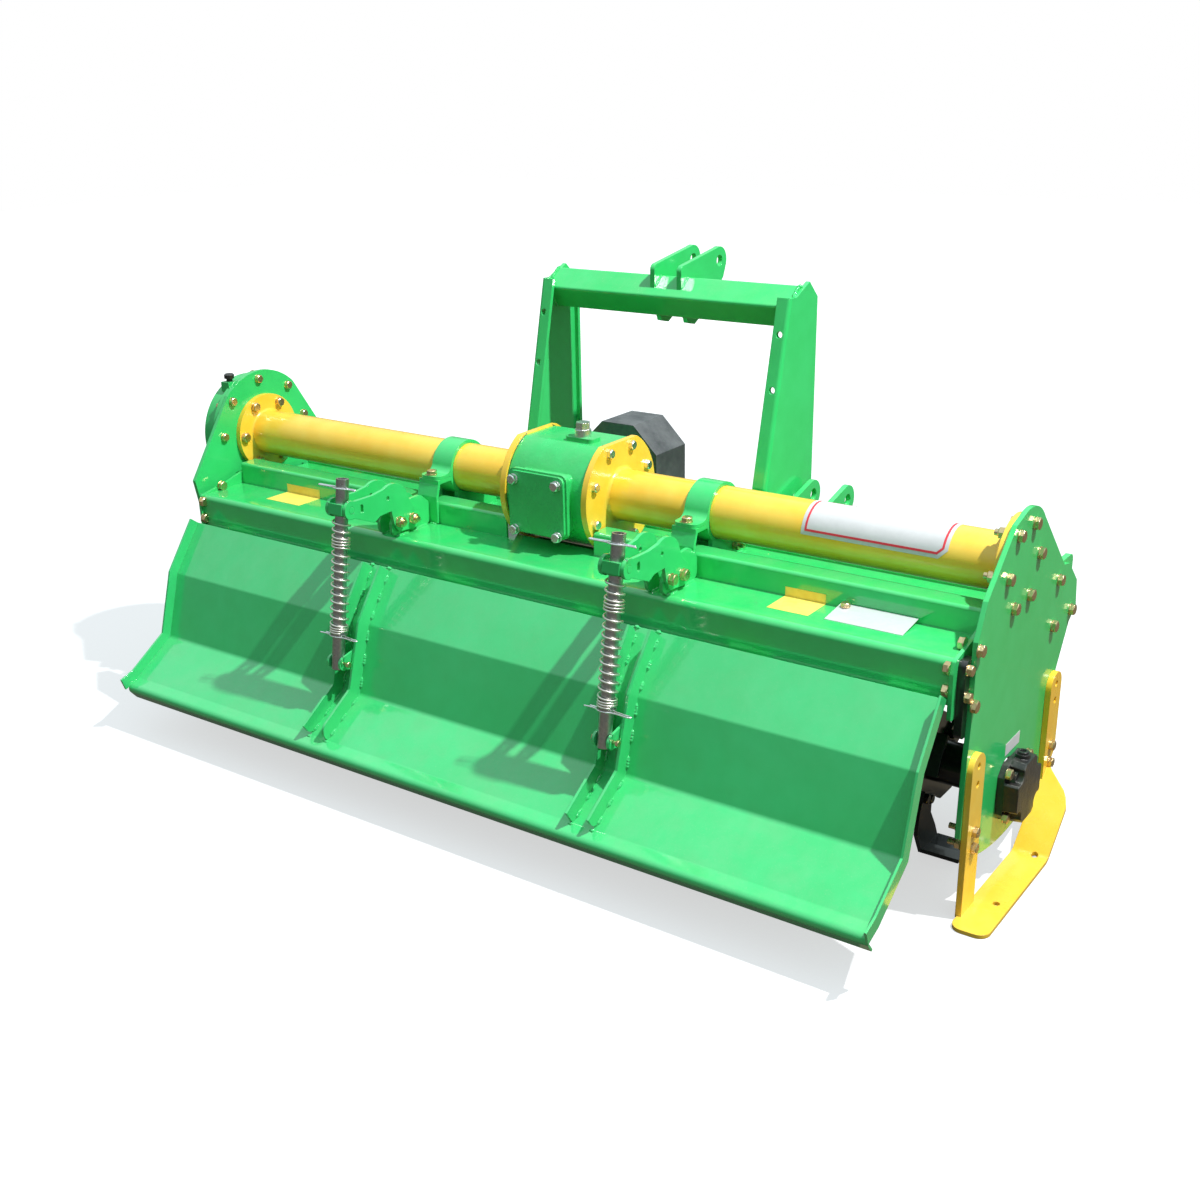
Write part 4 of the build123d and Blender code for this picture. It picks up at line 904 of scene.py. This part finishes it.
hood_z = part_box("strut_bracket_right")[0].z
gusset_plate, bracket_faces = 0.010, (0.344, 0.352, 0.380, 0.388)
grids = []
for side in (1, -1):
    for x in bracket_faces:
        grids += stitches(*along_y(side * x, -0.248, -0.122, hood_z), 2, 0.7, **hood_bead)
    for x in (saddle_in, saddle_in + gusset_plate, saddle_out - gusset_plate, saddle_out):
        grids += stitches(*along_y(side * x, -0.045, 0.100, hood_z), 2, 0.7, **hood_bead)
    saddle_ends = [(side * x, -0.121, hood_z) for x in (saddle_in, saddle_out)]
    grids += stitches(*saddle_ends, 2, 0.8, **hood_bead)
piece("hood_welds", grids, "frame", green_sheet)

beam_top, post_in, post_out = 0.549, 0.335, 0.345
lug_faces, hitch_faces = (0.043, 0.031), (0.3625, 0.3745, 0.4505, 0.4625)
thick_bead, thin_bead = 0.0042, 0.0034
mast_corners = [(0.400, 1.070), (0.346, 1.026), (0.390, 0.972), (0.444, 1.016)]
grids = []
for side in (1, -1):
    for (y0, z0), (y1, z1) in zip(mast_corners, mast_corners[1:] + mast_corners[:1]):
        grids.append(bead((side * post_in, y0, z0), (side * post_in, y1, z1), thick_bead, seed=3))
    grids.append(bead(*along_y(side * post_out, 0.246, 0.300, beam_top), thick_bead, seed=4))
    post_foot = [(side * x, 0.244, beam_top) for x in (0.297, 0.343)]
    grids.append(bead(*post_foot, thick_bead, seed=5))
    for lug_x in lug_faces:
        grids.append(bead((side * lug_x, 0.368, 1.044), (side * lug_x, 0.399, 1.069), thin_bead, seed=6))
    for plate_x in hitch_faces:
        grids.append(bead(*along_y(side * plate_x, 0.245, 0.300, beam_top), thin_bead, seed=7))
piece("headstock_welds", grids, "frame", green_plate)

# %% [markdown]
# ## Tube welds
# The carrying tube is welded into its end flanges and into the flanges of the gearbox all the way
# round, and this bead is ground and painted, so it is a smooth fillet. It is a ring: a quarter
# circle, hollow side out, turned about the tube's axis. Between each flange and the gearbox a
# little black sealant is squeezed out: a thin round bar round the joint that wanders a little.


# %% Tube welds
sunk = 0.001


def fillet_ring(x, way, low, reach, around=72):
    """For a from 0 to 90 degrees: reach (1 - sin a) along X, at the radius low + reach (1 - cos a)."""
    bend = np.radians(np.linspace(0, 90, 7))
    out = np.concatenate([reach * (1 - np.sin(bend)), [-sunk, -sunk]])
    size = low + np.concatenate([reach * (1 - np.cos(bend)), [reach, -sunk]])
    turn = np.arange(around)[:, None] * 2 * np.pi / around
    swell = 1 + 0.004 * np.sin(turn * 23)
    y, z = size * swell * np.cos(turn), tube_z + size * swell * np.sin(turn)
    points = np.stack(np.broadcast_arrays(x + way * out, y, z), axis=-1)
    return points.reshape(-1, 3), quads(around, len(out), True, True)


weld_low = 0.0570
grids = []
for side in (1, -1):
    grids.append(fillet_ring(side * flange_x, side, weld_low, 0.0085))
    grids.append(fillet_ring(side * tube_end_x, -side, weld_low, 0.0055))
piece("tube_welds", grids, "frame", yellow_tube, 60)

seal_x, seal_ring, seal_radius, seal_steps = 0.1042, 0.1285, 0.0011, 120
turn = np.radians(np.linspace(112, 428, seal_steps))
seal = []
for side in (1, -1):
    wander = np.random.default_rng(7).normal(0, 0.0004, (seal_steps, 3))
    y, z = seal_ring * np.cos(turn), tube_z + seal_ring * np.sin(turn)
    line = np.stack([np.full(seal_steps, side * seal_x), y, z], axis=1)
    seal.append(tube_along(line + wander, line - (0, 0, tube_z), seal_radius, 6))
piece("flange_seal", seal, "frame", black_paint, 180)

# %% [markdown]
# ## Stickers, left blank
# The machine has a long panel on its tube, two stickers on its hood, a small one by the rotor's
# bearing and a metal plate. Their words and pictures are left off, but their shapes, colours and
# places stay. Each is a slab: a top surface over a grid, a copy of it pushed down by its thickness,
# and a rim that joins the two. The grid of a sticker follows whatever it lies on.


# %% Stickers
def slab(top, down):
    """Close a grid of points (rows, columns, 3) against a copy moved down: top out, bottom back."""
    rows, columns = top.shape[:2]
    loop = np.concatenate([top, (top + down)[:, ::-1]], axis=1)
    j = np.arange(columns - 1)
    end = np.stack([j, j + 1, 2 * columns - 2 - j, 2 * columns - 1 - j], axis=1)
    faces = [quads(rows, 2 * columns), end, (end + (rows - 1) * 2 * columns)[:, ::-1]]
    return loop.reshape(-1, 3), np.concatenate(faces)


def vinyl(name, light, dark, roughness=0.42, metallic=0.0):
    """Printed film or a thin plate: nearly even, with faint rub marks and a slow wave."""
    made, tree, shader, where, rounded = finish(name, metallic=metallic, coat=0.1, edge=0.0004)
    skin = use(tree, uneven, Place=where["Object"], Size=14.0, Light=light, Dark=dark)
    tree.links.new(skin["Colour"], shader.inputs["Base Color"])
    rough = scaled(tree, skin["Cloud"], 0.0, 1.0, roughness, roughness + 0.15)
    tree.links.new(rough, shader.inputs["Roughness"])
    height = use(tree, sprayed, Place=where["Object"], Dimples=700.0, Waves=40.0, Nibs=0.1)["Height"]
    bumped(tree, shader, height, rounded, 0.15, 0.0004)
    return made


white_film = vinyl("white_film", (0.66, 0.67, 0.68, 1), (0.60, 0.61, 0.62, 1))
red_film = vinyl("red_film", (0.78, 0.05, 0.07, 1), (0.66, 0.03, 0.05, 1))
yellow_film = vinyl("yellow_film", (0.95, 0.80, 0.16, 1), (0.85, 0.66, 0.10, 1))
plate_metal = vinyl("pale_plate_metal", (0.78, 0.79, 0.82, 1), (0.64, 0.65, 0.68, 1), 0.30, 0.35)

film, tube_radius = 0.0005, 0.05715
panel_from, panel_to, cut = np.array([0.591, 176.0]), np.array([0.899, 62.0]), 0.017


def on_tube(x, degrees, lift):
    """A point on the tube at x and at an angle from +Y, lifted off the paint."""
    angle = np.radians(degrees)
    size = tube_radius + lift
    return np.stack(np.broadcast_arrays(x, size * np.cos(angle), tube_z + size * np.sin(angle)), axis=-1)


def panel_line(inset, steps=20):
    """The panel's outline in (x, degrees), inset evenly, with its lower right corner cut."""
    per_degree = np.radians(1) * tube_radius
    left, right = panel_from[0] + inset, panel_to[0] - inset
    low, high = panel_from[1] - inset / per_degree, panel_to[1] + inset / per_degree
    trim = cut - 0.6 * inset
    corners = [(left, high), (left, low), (right - trim, low), (right, low - trim / per_degree)]
    corners = np.array([*corners, (right, high), (left, high)])
    at = np.linspace(0, 5, 5 * steps + 1)
    flat = [np.interp(at, np.arange(6), corners[:, axis]) for axis in (0, 1)]
    return np.stack(flat, axis=1)


x = np.linspace(panel_from[0], panel_to[0], 90)[:, None]
low_edge = panel_from[1] - np.degrees(np.clip(x - (panel_to[0] - cut), 0, None) / tube_radius)
degrees = low_edge + (panel_to[1] - low_edge) * np.linspace(0, 1, 30)[None, :]
top, under = on_tube(x, degrees, film), on_tube(x, degrees, 0)
piece("tube_panel", [slab(top, under - top)], "frame", white_film, 60)
rows = [panel_line(inset) for inset in (0.0075, 0.0120)]
band = np.stack([on_tube(row[:, 0], row[:, 1], film + 0.0003) for row in rows], axis=1)
axis_line = np.stack([band[..., 0], 0 * band[..., 0], 0 * band[..., 0] + tube_z], axis=-1)
piece("tube_panel_border", [slab(band, (axis_line - band) * 0.004)], "frame", red_film, 60)

# %% [markdown]
# ## Stickers and plate on the hood
# A sticker on the hood lies flat, and its far edge runs a little way up the ledge behind, so its
# surface is a line of (y, z) points carried along X. Each point is lifted off the paint square to
# the sheet under it. The plate is stiff: it leans on the bend at the foot of the ledge, and one
# bolt holds it.


# %% Hood stickers and plate
def over_hood(x_from, x_to, line, lifts, name, material):
    """A film from x_from to x_to over a line of (y, z) points, each lifted by its own (y, z) step."""
    x = np.linspace(x_from, x_to, 8)[:, None]
    line, rise = np.array(line, float), np.array(lifts, float)
    top = np.stack(np.broadcast_arrays(x, line[:, 0] + rise[:, 0], line[:, 1] + rise[:, 1]), axis=-1)
    down = np.stack(np.broadcast_arrays(0 * x, -rise[:, 0], -rise[:, 1]), axis=-1)
    return piece(name, [slab(top, down)], "frame", material, 60)


hood_top, ledge_y = 0.539, -0.1130
lift_up, lift_back = (0, film), (-film, 0)
sticker_lifts = [lift_up, lift_up, (-film, film), lift_back, lift_back]


def sticker_line(rear, climb):
    """From the rear edge over the flat to the foot of the ledge, and up it by climb."""
    flat = [(y, hood_top) for y in (rear, -0.15, ledge_y)]
    return flat + [(ledge_y, hood_top + climb / 2), (ledge_y, hood_top + climb)]


over_hood(0.590, 0.680, sticker_line(-0.190, 0.020), sticker_lifts, "hood_sticker_right", yellow_film)
over_hood(-0.830, -0.715, sticker_line(-0.186, 0.022), sticker_lifts, "hood_sticker_left", yellow_film)
plate_line = [(-0.188, hood_top), (-0.150, 0.5435), (-0.1145, 0.5485)]
plate_thick, fixing_spot = 0.0012, (0.729, -0.127, 0.548)
over_hood(0.714, 0.875, plate_line, [(0, plate_thick)] * 3, "blank_plate", plate_metal)
grids = [placed(head(m10, 0.007), fixing_spot, up_way, 25)]
piece("plate_fixing", grids, "frame", golden)

label_out, label_thick = 0.0004, 0.0006
side_y, side_z = np.meshgrid([-0.012, 0.066], [0.258, 0.284], indexing="ij")
label = np.stack([np.full(side_y.shape, out_x + label_out), side_y, side_z], axis=-1)
grids = [slab(label, np.array([-label_thick, 0, 0]))]
piece("side_sticker", grids, "frame", white_film, 60)

# %% [markdown]
# ## Plugs
# The bearing cap is filled through a plug with a hex socket on its boss, and the gear case has two
# plugs on its face, one to check its oil and one to drain it. All are turned profiles, and the
# socket is only a dip of the profile.

# %% Plugs
cap_top, plug_radius, plug_top, socket_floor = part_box("bearing_cap")[1].z, 0.0115, 0.0048, 0.001
plug_rows = [(0, 0, 0), (0, plug_radius, 0), (0.004, plug_radius, 0), (plug_top, 0.0105, 0)]
socket_rows = [(plug_top, 0.0062, 1), (socket_floor, 0.0056, 1), (socket_floor, 0, 0)]
cap_middle = out_x + 0.025
grids = [placed(turned_hex(plug_rows + socket_rows), (cap_middle, cap_y, cap_top), up_way, 26)]
piece("cap_plug", grids, "frame", black_cast)
case_recess = 0.007
case_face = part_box("gear_case")[0].x + case_recess
plug_spots = [(case_face, 0.060, 0.330), (case_face, -0.055, 0.150)]
piece("case_plugs", [placed(head(m12, 0.008), plug_spots, left_way, 27)], "frame", bright)

# %% [markdown]
# ## The floor
# The machine stands on a plain pale floor. The floor takes a light shadow, which shows how the
# skids stand on it. A floor as pale as its surroundings would throw light up into every shadow of
# the machine, so it is pale only to the camera: its colour is mixed by Light Path's Is Camera Ray,
# and so is a glow that grows with the distance from the machine until floor and surroundings meet
# without a horizon. Whatever mirrors the floor sees a faint glow.

# %% The floor
floor_z, reach = cad_box[0].z - 0.0005, 14.0
ground = bpy.data.meshes.new("floor")
corners = [(x * reach, y * reach, floor_z) for x, y in ((-1, -1), (1, -1), (1, 1), (-1, 1))]
ground.from_pydata(corners, [], [(0, 1, 2, 3)])
floor = bpy.data.objects.new("floor", ground)
bpy.context.scene.collection.objects.link(floor)
pale = bpy.data.materials.new("pale_floor")
pale.use_nodes = True
tree = pale.node_tree
shader = tree.nodes["Principled BSDF"].inputs
shader["Roughness"].default_value = 0.9
shader["Specular IOR Level"].default_value = 0.0
shader["Emission Color"].default_value = (1, 1, 1, 1)
rays = add(tree, "LightPath").outputs
to_others, to_camera = (0.11, 0.09, 0.06, 1), (0.40, 0.41, 0.42, 1)
shade = mixed_colour(tree, rays["Is Camera Ray"], to_others, to_camera)
tree.links.new(shade, shader["Base Color"])
where = add(tree, "NewGeometry").outputs
distance = add(tree, "VectorMath", {0: where["Position"]}, operation="LENGTH").outputs["Value"]
near, far, near_glow, far_glow, mirrored_glow = 2.2, 5.0, 0.62, 1.0, 0.05
glow = times(tree, scaled(tree, distance, near, far, near_glow, far_glow), rays["Is Camera Ray"])
glow = plus(tree, glow, times(tree, rays["Is Glossy Ray"], mirrored_glow))
tree.links.new(glow, shader["Emission Strength"])
ground.materials.append(pale)
print("floor at", floor_z)
